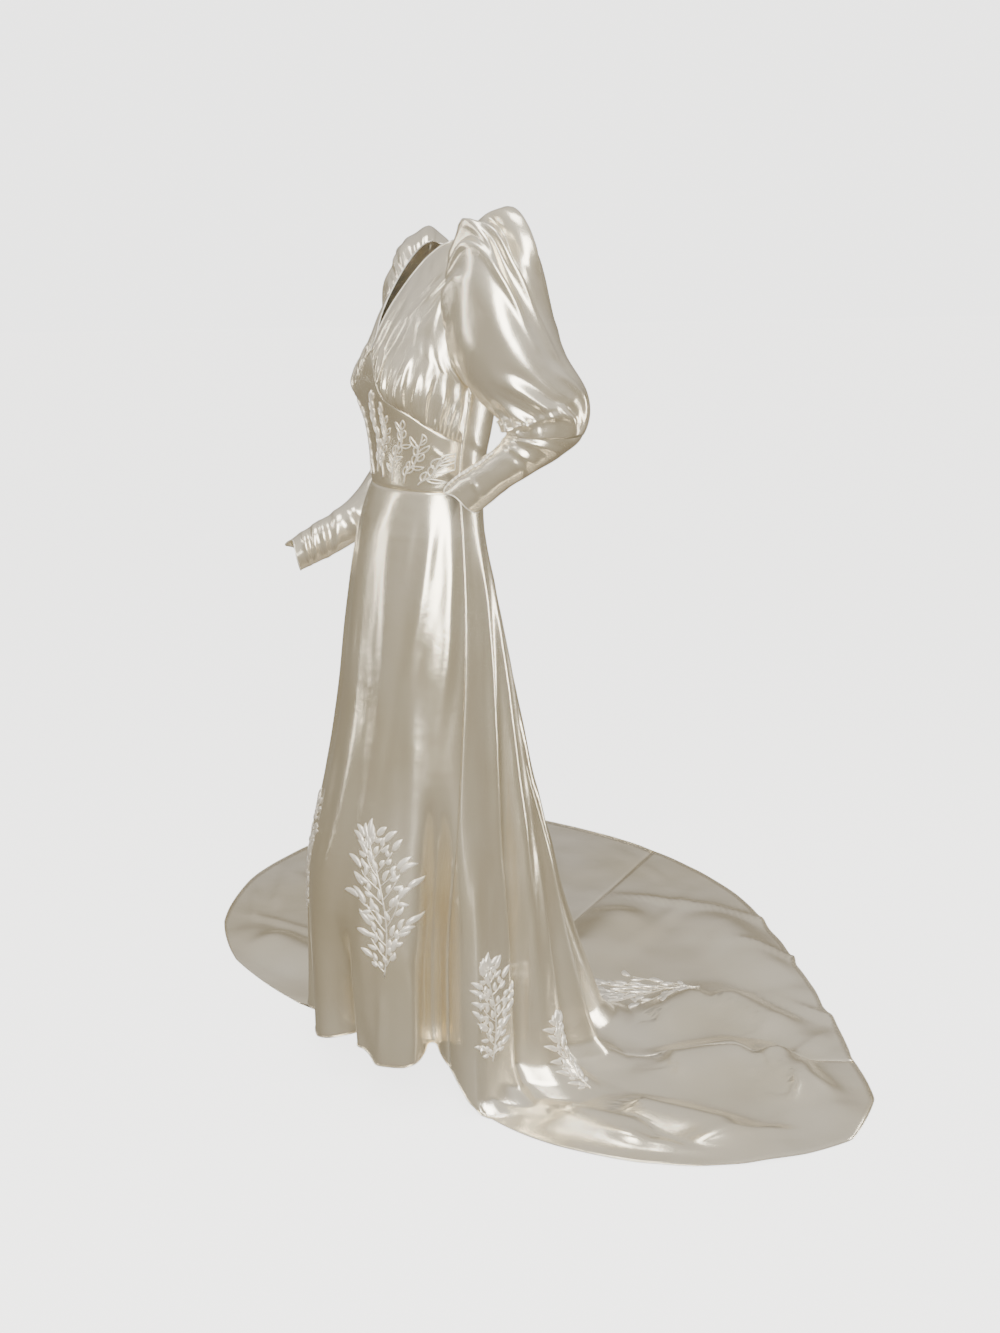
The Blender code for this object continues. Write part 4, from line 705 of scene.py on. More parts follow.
def sleeve_points(table, folds, side, ring, turn):
    """Inner face of a sleeve at ring numbers and angles round it."""
    rows = np.column_stack((np.arange(len(table)), np.array(table)))
    last = len(table) - 1.0
    values = smooth_table(rows, ring)
    before, after = smooth_table(rows, np.maximum(0.0, ring - 0.05)), smooth_table(rows, np.minimum(last, ring + 0.05))
    way = (after[..., :3] + after[..., 3:6]) - (before[..., :3] + before[..., 3:6])
    half = 0.5 * (values[..., 3:6] - values[..., :3])
    sideways = side * unit(np.cross(half, way))
    centre = 0.5 * (values[..., :3] + values[..., 3:6])
    angle = np.radians(turn)
    out = half * np.cos(angle)[..., None] + values[..., 6:7] * sideways * np.sin(angle)[..., None]
    radius = np.linalg.norm(out, axis=-1)
    swell = np.zeros(ring.shape)
    for fold_ring, fold_turn, ring_spread, turn_spread, depth in folds:
        away = (turn - fold_turn + 180.0) % 360.0 - 180.0
        swell = swell + depth * np.exp(-((ring - fold_ring) / ring_spread) ** 2 - (away / turn_spread) ** 2)
    grown = smooth_step(ring / 0.7) * (1.0 - smooth_step((ring - 0.7) / (SLEEVE_GATHER_RINGS - 0.7)))
    over = 0.5 + 0.5 * np.cos(angle)
    swell = swell + SLEEVE_GATHER_DEPTH * grown * over * np.cos(SLEEVE_GATHERS * angle)
    points = centre + out * (1.0 + swell / radius)[..., None]
    rim = armhole_points(side, turn)
    inward = unit(centre - rim)
    rim = rim + (inward + np.array(ARMHOLE_OUT[side])) * (WALL + ARMHOLE_INSET)
    points = np.where((ring < 1.0)[..., None], lerp(rim, points, smooth_step(ring)[..., None]), points)
    away = (turn - CUFF_POINT_TURN + 180.0) % 360.0 - 180.0
    stretch = CUFF_POINT * np.exp(-(away / 32.0) ** 2) * np.clip((ring - last + 1.6) / 1.6, 0.0, 1.0) ** 2
    return points + stretch[..., None] * unit(way)


# Creases of the sleeves. Columns: angle and ring at both ends, bow, half width, height.
LEFT_UPPER_CREASES = (
    (318.0, 0.8, 340.0, 5.8, 0.014, 0.0070, 0.0085),
    (302.0, 0.9, 320.0, 5.4, 0.012, 0.0062, 0.0065),
    (333.0, 0.6, 325.0, 4.4, -0.006, 0.0070, 0.0080),
    (352.0, 1.6, 350.0, 4.4, 0.004, 0.0160, -0.0200),
    (14.0, 0.8, 18.0, 4.8, -0.006, 0.0080, 0.0090),
    (84.0, 1.6, 88.0, 4.2, -0.004, 0.0070, 0.0060),
    (8.0, 0.7, 40.0, 2.6, 0.004, 0.0060, 0.0045),
    (316.0, 0.9, 340.0, 4.4, 0.012, 0.0090, 0.0040),
    (300.0, 0.7, 312.0, 3.0, 0.006, 0.0080, 0.0035),
    (282.0, 0.6, 290.0, 2.6, 0.004, 0.0070, 0.0030),
    (30.0, 5.4, 350.0, 7.4, -0.010, 0.0070, 0.0045),
    (320.0, 6.0, 350.0, 7.7, 0.006, 0.0080, 0.0040),
    (262.0, 5.2, 286.0, 7.7, 0.010, 0.0080, 0.0070),
    (240.0, 5.6, 254.0, 8.0, 0.006, 0.0066, 0.0075),
    (215.0, 6.0, 228.0, 8.0, -0.004, 0.0060, 0.0065),
    (290.0, 6.8, 320.0, 8.0, 0.004, 0.0055, 0.0060),
    (318.0, 7.0, 12.0, 7.9, 0.004, 0.0055, 0.0055),
    (276.0, 7.2, 330.0, 7.6, 0.003, 0.0045, 0.0045),
    (40.0, 3.4, 60.0, 5.6, 0.006, 0.0070, 0.0040),
    (100.0, 2.0, 96.0, 5.4, 0.008, 0.0090, 0.0050),
    (130.0, 1.4, 140.0, 4.6, 0.006, 0.0090, 0.0045),
    (160.0, 1.0, 170.0, 4.0, 0.004, 0.0080, 0.0040),
    (80.0, 5.8, 110.0, 7.6, 0.006, 0.0080, 0.0040),
    (195.0, 1.0, 200.0, 4.0, 0.004, 0.0080, 0.0035),
)
RIGHT_UPPER_CREASES = (
    (330.0, 0.8, 10.0, 5.0, 0.016, 0.0080, 0.0050),
    (350.0, 0.8, 30.0, 4.4, 0.010, 0.0070, 0.0045),
    (300.0, 0.8, 320.0, 4.0, 0.008, 0.0080, 0.0040),
    (20.0, 5.0, 345.0, 7.4, -0.008, 0.0080, 0.0045),
    (260.0, 5.0, 280.0, 7.4, 0.008, 0.0090, 0.0045),
    (225.0, 5.6, 240.0, 7.8, 0.004, 0.0080, 0.0045),
    (60.0, 1.0, 70.0, 4.6, 0.006, 0.0080, 0.0045),
    (100.0, 1.0, 108.0, 4.6, 0.006, 0.0090, 0.0045),
    (140.0, 1.0, 150.0, 4.2, 0.004, 0.0080, 0.0040),
    (80.0, 5.2, 110.0, 7.6, 0.006, 0.0090, 0.0045),
)
LEFT_LOWER_CREASES = (
    (225.0, 8.2, 330.0, 8.9, 0.004, 0.0050, 0.0034),
    (200.0, 8.6, 300.0, 9.5, 0.003, 0.0045, 0.0028),
    (180.0, 8.5, 110.0, 9.0, 0.003, 0.0050, 0.0030),
    (250.0, 9.4, 320.0, 10.3, 0.002, 0.0045, 0.0020),
    (190.0, 10.0, 120.0, 10.6, 0.002, 0.0045, 0.0020),
    (240.0, 11.4, 300.0, 12.0, 0.002, 0.0040, 0.0016),
    (60.0, 10.5, 0.0, 11.3, 0.002, 0.0050, 0.0016),
)
RIGHT_LOWER_CREASES = (
    (210.0, 8.2, 320.0, 8.8, 0.004, 0.0050, 0.0032),
    (190.0, 8.8, 110.0, 9.4, 0.003, 0.0050, 0.0030),
    (10.0, 10.5, 200.0, 10.8, 0.003, 0.0040, 0.0036),
    (205.0, 11.0, 20.0, 11.3, -0.003, 0.0040, 0.0040),
    (5.0, 11.5, 195.0, 11.7, 0.003, 0.0038, 0.0038),
    (200.0, 11.9, 25.0, 12.1, -0.002, 0.0038, 0.0036),
    (15.0, 12.4, 190.0, 12.5, 0.002, 0.0034, 0.0030),
    (30.0, 10.4, 150.0, 10.8, 0.002, 0.0045, 0.0024),
)
SLEEVES = (
    ("left", 1.0, LEFT_SLEEVE, LEFT_SLEEVE_FOLDS, LEFT_UPPER_CREASES, LEFT_LOWER_CREASES),
    ("right", -1.0, RIGHT_SLEEVE, RIGHT_SLEEVE_FOLDS, RIGHT_UPPER_CREASES, RIGHT_LOWER_CREASES),
)
UPPER_SLEEVE_END = SLEEVE_SEAM_RING + 0.02
LOWER_SLEEVE_START = SLEEVE_SEAM_RING - 0.02


def add_sleeves():
    for word, side, table, folds, upper_rows, lower_rows in SLEEVES:
        last = len(table) - 1.0
        for part, first, end, rows, columns, crease_rows in (
            ("upper", 0.0, UPPER_SLEEVE_END, 130, 180, upper_rows),
            ("lower", LOWER_SLEEVE_START, last, 90, 100, lower_rows),
        ):
            share = np.linspace(0.0, 1.0, rows)
            if part == "upper":
                share = share * (0.62 + 0.38 * share)
            ring, turn = np.meshgrid(lerp(first, end, share), np.linspace(0.0, 360.0, columns, endpoint=False), indexing="ij")
            base = sleeve_points(table, folds, side, ring, turn)
            middle = base.mean(axis=1, keepdims=True)
            radius = np.linalg.norm(base - middle, axis=-1).mean(axis=1, keepdims=True)
            per_turn = radius * math.pi / 180.0
            per_ring = 0.036 if part == "upper" else 0.030
            lift = creases(turn, ring, per_turn, per_ring, crease_rows)
            if part == "upper":
                pleats = 0.5 + 0.5 * np.cos(np.radians(turn) * 34.0 + 2.2 * np.sin(np.radians(turn) * 5.0))
                near = smooth_step(ring / 0.25) * (1.0 - smooth_step((ring - 0.3) / 1.5))
                lift = lift + 0.0030 * pleats * near * (0.35 + 0.65 * (0.5 + 0.5 * np.cos(np.radians(turn))))
                lift = lift + 0.0012 * value_noise(turn / 22.5, ring / 1.1, 21)
                lift = lift * smooth_step(ring / 0.25) * smooth_step((SLEEVE_SEAM_RING - ring) / 0.25 + 0.1)
            else:
                lift = lift + 0.0005 * value_noise(turn / 30.0, ring / 0.5, 22)
                lift = lift * smooth_step((ring - SLEEVE_SEAM_RING) / 0.3 + 0.1)
                lift = lift - 0.0010 * (1.0 - smooth_step((ring - SLEEVE_SEAM_RING) / 0.25))
            seams = ("top",) if part == "upper" else ()
            add_cloth("sleeve_" + word + "_" + part + "_cloth", "sleeve_" + word + "_" + part, base, base - middle, lift,
                      SATIN, closed=True, seams=seams)


def hem_of(angle):
    """Reach and height of the hem at angles from centre front."""
    angle = (angle + 62.0) % 360.0 - 62.0
    keys = [row[0] for row in HEM]
    return np.interp(angle, keys, [row[1] for row in HEM]), np.interp(angle, keys, [row[2] for row in HEM])


def meridians(angle):
    """Lines down the skirt at flat lists of angles: way, reach and height at each step, and the whole way."""
    heights = WAIST_HEIGHT * (1.0 - np.linspace(0.0, 1.0, DROP_STEPS + 1))
    front, left, back, right = smooth_table(SKIRT, heights).T
    turn = np.radians(angle)[:, None]
    side = np.where(np.sin(turn) > 0.0, left, right)
    depth = np.where(np.cos(turn) > 0.0, front, back)
    reach = side * depth / np.hypot(depth * np.sin(turn), side * np.cos(turn))
    for centre, spread, fold, start, full in SKIRT_FOLDS:
        away = (angle[:, None] - centre + 180.0) % 360.0 - 180.0
        grown = smooth_step((start - heights) / (start - full))
        reach = reach + fold * np.exp(-np.abs(away / spread) ** FOLD_POWER) * grown
    wrapped = (angle + 62.0) % 360.0 - 62.0
    bend = FLOOR_BEND * smooth_step((104.0 - np.abs(wrapped - 190.0)) / 34.0)[:, None]
    height = np.broadcast_to(heights, reach.shape)
    part = np.where(bend > 0.004, np.clip((bend - height) / np.maximum(bend, 0.004), 0.0, 1.0), 0.0)
    reach = reach + bend * 1.1 * part ** 2
    height = np.where(part > 0.0, bend * (1.0 - part) ** 2, height)
    steps = np.hypot(np.diff(reach, axis=1), np.diff(height, axis=1))
    way = np.concatenate((np.zeros((len(angle), 1)), np.cumsum(steps, axis=1)), axis=1)
    reach_end, hem_height = hem_of(angle)
    floor_total = way[:, -1] + np.maximum(0.01, reach_end - reach[:, -1])
    step = np.clip((height > hem_height[:, None]).sum(axis=1), 1, DROP_STEPS)
    pick = np.arange(len(angle))
    high, low = height[pick, step - 1], height[pick, step]
    share = np.clip((high - hem_height) / np.maximum(high - low, 1e-9), 0.0, 1.0)
    hanging_total = lerp(way[pick, step - 1], way[pick, step], share)
    return way, reach, height, np.where(hem_height > 0.0, hanging_total, floor_total)


def train_heights(x, y):
    """Height of the train over the floor, flat between its ridges."""
    total = np.zeros(x.shape)
    for start_angle, start_reach, end_angle, end_reach, width, height in TRAIN_RIDGES:
        first = start_reach * np.array([math.sin(math.radians(start_angle)), -math.cos(math.radians(start_angle))])
        last = end_reach * np.array([math.sin(math.radians(end_angle)), -math.cos(math.radians(end_angle))])
        way = last - first
        place = ((x - first[0]) * way[0] + (y - first[1]) * way[1]) / np.dot(way, way)
        inside = np.clip(place, 0.0, 1.0)
        away = np.hypot(x - first[0] - inside * way[0], y - first[1] - inside * way[1]) / width
        bump = np.where(away < 2.0, 0.5 + 0.5 * np.cos(math.pi * np.minimum(away, 2.0) / 2.0), 0.0) ** 1.5
        ends = 0.35 + 0.65 * smooth_step(np.minimum(inside, 1.0 - inside) / 0.25)
        total = np.maximum(total, height * bump * ends)
    return total


def skirt_points(angle, way_or_share, as_share):
    """Inner face of the skirt at angles and ways down from the waist, or shares of the way, and the ways."""
    shape = angle.shape
    angle = angle.ravel()
    ways, reaches, heights, total = meridians(angle)
    hang = WAIST_HEIGHT + HANG_ALLOWANCE
    if as_share:
        down = way_or_share.ravel()
        turn = (hang / np.maximum(total, hang)) ** ROW_POWER
        lower = hang + (total - hang) * (down - turn) / np.maximum(1.0 - turn, 1e-9)
        way = np.where(total <= hang, down * total, np.where(down < turn, hang * down / turn, lower))
    else:
        way = way_or_share.ravel()
    step = np.clip((ways <= way[:, None]).sum(axis=1), 1, DROP_STEPS)
    pick = np.arange(len(angle))
    start, end = ways[pick, step - 1], ways[pick, step]
    share = np.clip((way - start) / (end - start), 0.0, 1.0)
    reach = lerp(reaches[pick, step - 1], reaches[pick, step], share) + np.maximum(0.0, way - ways[:, -1])
    height = lerp(heights[pick, step - 1], heights[pick, step], share)
    turned = np.radians(angle)
    x, y = reach * np.sin(turned), -reach * np.cos(turned)
    near = smooth_step((way - ways[:, -1] + 0.10) / 0.14)
    laid = np.maximum(height, near * train_heights(x, y) + height * 0.5)
    height = np.where(way > ways[:, -1] - 0.10, laid, height)
    return np.stack((x, y, height), axis=-1).reshape(shape + (3,)), way.reshape(shape)


def share_down(angle, way):
    total = meridians(angle.ravel())[3].reshape(angle.shape)
    hang = WAIST_HEIGHT + HANG_ALLOWANCE
    turn = (hang / np.maximum(total, hang)) ** ROW_POWER
    lower = turn + (1.0 - turn) * (way - hang) / np.maximum(total - hang, 1e-9)
    return np.where(total <= hang, way / total, np.where(way < hang, turn * way / hang, lower))


def panel_edges(panel, down):
    swing = smooth_step(down / 0.85)
    return lerp(panel[1], panel[2], swing), lerp(panel[3], panel[4], swing)


# Creases of the skirt. Columns: angle and way down at both ends, bow, half width, height.
SKIRT_CREASES = (
    (70.0, 0.02, 52.0, 0.34, 0.010, 0.012, 0.0030),
    (84.0, 0.02, 74.0, 0.40, 0.008, 0.011, 0.0034),
    (40.0, 0.10, 30.0, 0.55, 0.010, 0.020, 0.0030),
    (58.0, 0.34, 60.0, 0.72, 0.006, 0.016, 0.0030),
    (68.0, 0.50, 66.0, 0.84, -0.006, 0.012, 0.0040),
    (12.0, 0.30, 8.0, 0.90, 0.008, 0.022, 0.0040),
    (-12.0, 0.40, -14.0, 0.95, 0.006, 0.020, 0.0036),
    (-40.0, 0.04, -30.0, 0.50, 0.010, 0.018, 0.0032),
    (-66.0, 0.04, -58.0, 0.50, 0.010, 0.016, 0.0032),
    (-84.0, 0.02, -78.0, 0.40, 0.006, 0.012, 0.0030),
    (36.0, 0.56, 34.0, 0.88, 0.004, 0.014, 0.0040),
    (47.0, 0.86, 46.0, 1.00, 0.002, 0.009, 0.0040),
    (60.0, 0.80, 62.0, 1.00, 0.003, 0.010, 0.0044),
    (71.0, 0.74, 72.0, 1.04, 0.002, 0.013, -0.0110),
    (28.0, 0.80, 27.0, 1.00, 0.003, 0.010, 0.0044),
    (104.0, 0.02, 106.0, 0.60, 0.006, 0.012, 0.0036),
    (110.0, 0.04, 108.0, 1.05, -0.006, 0.011, 0.0040),
    (123.0, 0.03, 123.0, 0.90, 0.004, 0.012, 0.0044),
    (135.0, 0.05, 137.0, 1.00, 0.004, 0.011, 0.0040),
    (92.0, 0.60, 90.0, 1.00, 0.004, 0.012, 0.0036),
    (156.0, 0.06, 157.0, 0.95, 0.004, 0.012, 0.0040),
    (172.0, 0.05, 172.0, 0.95, -0.004, 0.013, 0.0040),
    (190.0, 0.05, 190.0, 0.95, 0.004, 0.013, 0.0040),
    (208.0, 0.05, 209.0, 0.95, -0.004, 0.014, 0.0040),
    (228.0, 0.05, 228.0, 0.95, 0.004, 0.013, 0.0040),
    (250.0, 0.05, 252.0, 0.95, -0.004, 0.014, 0.0040),
)
# Creases of the train on the floor. Columns: angle and reach at both ends, bow, half width, height.
TRAIN_CREASES = (
    (190.0, 1.02, 222.0, 0.88, 0.030, 0.016, 0.0070),
    (178.0, 0.92, 196.0, 0.80, 0.020, 0.014, 0.0080),
    (160.0, 0.98, 178.0, 0.72, -0.020, 0.016, 0.0080),
    (150.0, 0.60, 166.0, 0.80, 0.016, 0.014, 0.0080),
    (132.0, 0.66, 158.0, 0.70, 0.020, 0.012, 0.0070),
    (118.0, 0.52, 136.0, 0.70, 0.014, 0.012, 0.0090),
    (112.0, 0.42, 122.0, 0.60, 0.010, 0.010, 0.0080),
    (238.0, 0.70, 246.0, 1.20, 0.020, 0.020, 0.0050),
    (226.0, 0.66, 231.0, 1.05, 0.016, 0.018, 0.0045),
    (205.0, 0.56, 210.0, 1.00, 0.014, 0.020, 0.0045),
    (258.0, 0.60, 268.0, 1.00, 0.016, 0.020, 0.0050),
    (270.0, 0.56, 280.0, 0.78, 0.010, 0.014, 0.0050),
    (276.0, 0.76, 268.0, 1.02, 0.010, 0.010, 0.0045),
    (282.0, 0.70, 274.0, 0.94, 0.008, 0.009, 0.0045),
    (214.0, 1.02, 226.0, 1.20, 0.012, 0.014, 0.0035),
)


def train_creases(x, y):
    reach = np.hypot(x, y)
    total = np.zeros(x.shape)
    for start_angle, start_reach, end_angle, end_reach, bow, width, height in TRAIN_CREASES:
        first = start_reach * np.array([math.sin(math.radians(start_angle)), -math.cos(math.radians(start_angle))])
        last = end_reach * np.array([math.sin(math.radians(end_angle)), -math.cos(math.radians(end_angle))])
        way = last - first
        length = math.hypot(*way)
        along_way = ((x - first[0]) * way[0] + (y - first[1]) * way[1]) / length ** 2
        part = np.clip(along_way, 0.0, 1.0)
        off = ((x - first[0]) * way[1] - (y - first[1]) * way[0]) / length - bow * 4.0 * part * (1.0 - part)
        past = (along_way - part) * length
        taper = 0.2 + 0.8 * smooth_step(np.minimum(part, 1.0 - part) / 0.3)
        total = total + height * taper * np.exp(-(off / width) ** 2 - (past / (1.5 * width)) ** 2)
    return total * smooth_step((reach - 0.30) / 0.10)


def add_skirt():
    for panel in SKIRT_PANELS:
        name, columns, rows = panel[0], panel[5], panel[6]
        across, down = np.meshgrid(np.linspace(0.0, 1.0, columns), np.linspace(0.0, 1.0, rows))
        start, end = panel_edges(panel, down)
        angle = lerp(start, end, across)
        base, way = skirt_points(angle, down, True)
        base[0, :, 2] -= 0.5 * SEAM_GAP
        reach = np.hypot(base[..., 0], base[..., 1])
        outward = np.stack((np.sin(np.radians(angle)), -np.cos(np.radians(angle)), np.full(angle.shape, 0.35)), axis=-1)
        hanging = 1.0 - smooth_step((way - 0.95) / 0.12)
        lift = creases(angle, way, reach * math.pi / 180.0, 1.0, SKIRT_CREASES) * smooth_step(way / 0.05)
        over = angle / 180.0 * math.pi * np.minimum(reach, 0.25)
        lift = lift + hanging * smooth_step(way / 0.08) * (
            0.0018 * value_noise(over / 0.045, way / 0.28, 31) + 0.0006 * value_noise(over / 0.016, way / 0.09, 32)
        )
        laid = 1.0 - hanging
        lift = lift * np.maximum(hanging, 0.15)
        lift = lift + laid * (
            train_creases(base[..., 0], base[..., 1])
            + 0.0012 + 0.0012 * value_noise(base[..., 0] / 0.06, base[..., 1] / 0.06, 33)
        )
        lift = lift * smooth_step(np.minimum(across, 1.0 - across) * (columns - 1) / 6.0 + 0.25)
        add_cloth(name + "_cloth", name, base, outward, lift, SATIN, seams=("left", "right", "top"), floor=True)


add_bodice()
add_sleeves()
add_skirt()


# Trims.
def tube(points, normals, radius, sides=8, flat=1.0, closed=False):
    """Tube along a line of points, flattened along the normals."""
    points = np.asarray(points)
    way = unit(wrapped_gradient(points[:, None], 0, closed)[:, 0] if not closed else
               np.roll(points, -1, axis=0) - np.roll(points, 1, axis=0))
    across = unit(np.cross(way, normals))
    up = np.cross(across, way)
    angle = np.linspace(0.0, 2.0 * math.pi, sides, endpoint=False)
    radius = np.broadcast_to(np.asarray(radius, float), (len(points),))[:, None, None]
    ring = np.cos(angle)[None, :, None] * across[:, None] + flat * np.sin(angle)[None, :, None] * up[:, None]
    spots = points[:, None] + radius * ring
    count = len(points)
    faces = []
    last = count if closed else count - 1
    for i in range(last):
        for j in range(sides):
            a, b = i * sides + j, i * sides + (j + 1) % sides
            c, d = ((i + 1) % count) * sides + (j + 1) % sides, ((i + 1) % count) * sides + j
            faces.append((a, b, c, d))
    if not closed:
        faces.append(tuple(range(sides))[::-1])
        faces.append(tuple((count - 1) * sides + j for j in range(sides)))
    return spots.reshape(-1, 3), faces


def join(parts):
    points, faces, count = [], [], 0
    for spots, part_faces in parts:
        points.append(np.asarray(spots))
        faces += [tuple(int(v) + count for v in face) for face in part_faces]
        count += len(spots)
    return np.concatenate(points), faces


def leaf(place, base, heading, curl, length, width, rise):
    """Padded leaf with a pressed middle vein on a cloth, from its base in stem coordinates."""
    rows, columns = 11, 7
    s, w = np.meshgrid(np.linspace(0.0, 1.0, rows), np.linspace(-1.0, 1.0, columns), indexing="ij")
    turned = heading + curl * s
    steps = length / (rows - 1)
    centre_p = base[0] + np.cumsum(np.sin(turned) * steps, axis=0)
    centre_q = base[1] + np.cumsum(np.cos(turned) * steps, axis=0)
    half = width * (4.0 * s * (1.0 - s) + 0.02) ** 0.7 * (1.2 - 0.5 * s)
    p = centre_p + np.cos(turned) * w * half
    q = centre_q - np.sin(turned) * w * half
    points, normals = place(p, q)
    dome = (1.0 - np.abs(w) ** 2.4) * np.sin(math.pi * np.clip(s, 0.02, 0.98)) ** 0.5
    vein = np.exp(-(w / 0.16) ** 2) * np.sin(math.pi * s)
    top = points + normals * (rise * (dome - 0.42 * vein) - 0.0003)[..., None]
    low = points - normals * 0.0006
    count = rows * columns
    faces = []
    for i in range(rows - 1):
        for j in range(columns - 1):
            a, b = i * columns + j, i * columns + j + 1
            c, d = a + columns + 1, a + columns
            faces += [(a, b, c, d), (a + count, d + count, c + count, b + count)]
    rim = [j for j in range(columns)] + [i * columns + columns - 1 for i in range(1, rows)]
    rim += [(rows - 1) * columns + j for j in range(columns - 2, -1, -1)] + [i * columns for i in range(rows - 2, 0, -1)]
    for first, last in zip(rim, rim[1:] + rim[:1]):
        faces.append((last, first, first + count, last + count))
    return np.concatenate((top.reshape(-1, 3), low.reshape(-1, 3))), faces


def stem_tube(place, line, radius):
    line = np.asarray(line)
    points, normals = place(line[:, 0], line[:, 1])
    return tube(points + normals * radius * 0.35, normals, radius, sides=6, flat=0.8)


# Leaf sprays of the skirt. Columns: node, cloth, panel row, angle and way down at the foot, lean in degrees,
# length, half width, longest leaf, leaf half width, pairs of twigs, seed.
SPRAYS = (
    ("spray_front_left", "skirt_front_cloth", 0, 48.5, 0.832, -7.0, 0.255, 0.062, 0.038, 0.0058, 10, 1),
    ("spray_front_right", "skirt_front_cloth", 0, -35.0, 0.832, 7.0, 0.250, 0.060, 0.038, 0.0058, 10, 2),
    ("spray_side_back_left", "skirt_side_back_left_cloth", 1, 97.0, 0.985, 0.0, 0.180, 0.040, 0.030, 0.0052, 8, 3),
    ("spray_back_left", "skirt_side_back_left_cloth", 1, 131.0, 1.105, 0.0, 0.150, 0.032, 0.028, 0.0048, 7, 4),
    ("spray_train", "skirt_back_left_cloth", 2, 184.0, 1.335, 30.0, 0.160, 0.140, 0.046, 0.0070, 8, 5),
)


def spray_parts(place, length, reach, leaf_length, leaf_width, pairs, seed, rise):
    rng = np.random.RandomState(seed)
    sway = 0.05 * length
    height = np.linspace(0.0, 0.93, 24)
    stem = np.column_stack((sway * np.sin(height * 4.2), height * length))
    parts = [stem_tube(place, stem, 0.0013)]
    for k in range(pairs):
        share = 0.05 + 0.83 * k / (pairs - 1)
        spread = math.sin(math.pi * min(1.0, share * 0.92 + 0.10)) ** 0.8
        for side in (-1.0, 1.0):
            start_share = share + side * 0.018
            start = np.array([sway * math.sin(start_share * 4.2), start_share * length])
            heading = side * math.radians(rng.uniform(38.0, 62.0))
            twig = reach * spread * rng.uniform(0.72, 1.0)
            bend = -side * math.radians(rng.uniform(10.0, 40.0))
            steps = np.linspace(0.0, 1.0, 9)
            turned = heading + bend * steps
            line = start + np.cumsum(np.column_stack((np.sin(turned), np.cos(turned))) * twig / 8.0, axis=0)
            line = np.concatenate((start[None], line[:-1]))
            parts.append(stem_tube(place, line, 0.0009))
            size = leaf_length * rng.uniform(0.75, 1.0) * (0.62 + 0.38 * spread)
            parts.append(leaf(place, line[-1], turned[-1], side * rng.uniform(0.2, 1.1), size, leaf_width, rise))
            for spot, turn_side in ((4, 1.0), (6, -1.0), (2, -1.0)):
                away = turned[spot] + turn_side * side * math.radians(rng.uniform(38.0, 66.0))
                small = size * rng.uniform(0.5, 0.72)
                curl = -turn_side * side * rng.uniform(0.3, 1.3)
                parts.append(leaf(place, line[spot], away, curl, small, leaf_width * 0.78, rise * 0.85))
    tip = stem[-1]
    for heading, curl, size in ((0.0, 0.4, 0.9), (0.6, -0.7, 0.7), (-0.6, 0.7, 0.7)):
        parts.append(leaf(place, tip, heading, curl, leaf_length * size, leaf_width, rise))
    return parts


def add_sprays():
    pieces = {}
    for node, cloth, row, angle, foot, lean, length, reach, leaf_length, leaf_width, pairs, seed in SPRAYS:
        panel = SKIRT_PANELS[row]
        tilt = math.radians(lean)

        def place(p, q):
            up = q * math.cos(tilt) - p * math.sin(tilt)
            over = q * math.sin(tilt) + p * math.cos(tilt)
            way = foot - up
            radius = np.hypot(*np.moveaxis(skirt_points(np.full(way.shape, angle), way, False)[0], -1, 0)[:2])
            here = angle + np.degrees(over / np.maximum(0.05, radius))
            down = share_down(here, way)
            start, end = panel_edges(panel, down)
            return surface(cloth, down, (here - start) / (end - start))

        parts = spray_parts(place, length, reach, leaf_length, leaf_width, pairs, seed, 0.0042)
        piece = add_mesh(node + "_leaves", *join(parts), TRIM)
        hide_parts(node)
        pieces.setdefault(cloth, []).append(piece)
    return pieces


# Vines of the yoke. Columns: foot turn and height, heading in degrees, length of the stem, leaves.
YOKE_VINES = (
    (0.0, 1.092, 4.0, 0.150, 7),
    (10.0, 1.086, 14.0, 0.135, 6),
    (-10.0, 1.086, -14.0, 0.135, 6),
    (22.0, 1.084, 22.0, 0.112, 6),
    (-22.0, 1.084, -22.0, 0.112, 6),
    (36.0, 1.084, 26.0, 0.088, 5),
    (-36.0, 1.084, -26.0, 0.088, 5),
    (50.0, 1.084, 34.0, 0.066, 4),
    (-50.0, 1.084, -34.0, 0.066, 4),
)


def yoke_surface(turn, height):
    """Point and normal on the yoke's cloth at turns and heights, found row by row."""
    share = np.linspace(0.0, 1.0, 61)
    part = np.abs(turn) / 93.0
    for _ in range(3):
        area = coons(YOKE_EDGES, np.broadcast_to(np.clip(part, 0.0, 1.0)[..., None], part.shape + (61,)).copy(),
                     np.broadcast_to(share, part.shape + (61,)).copy())
        step = np.clip((area[..., 1] < height[..., None]).sum(axis=-1), 1, 60)
        low = np.take_along_axis(area[..., 1], (step - 1)[..., None], axis=-1)[..., 0]
        high = np.take_along_axis(area[..., 1], step[..., None], axis=-1)[..., 0]
        inside = np.clip((height - low) / np.maximum(high - low, 1e-9), 0.0, 1.0)
        up = (step - 1 + inside) / 60.0
        found = np.take_along_axis(area[..., 0], step[..., None], axis=-1)[..., 0]
        part = part + (np.abs(turn) - found) / 93.0
    return surface("midriff_yoke_cloth", up, 0.5 + 0.5 * np.sign(turn) * np.clip(part, 0.0, 1.0))


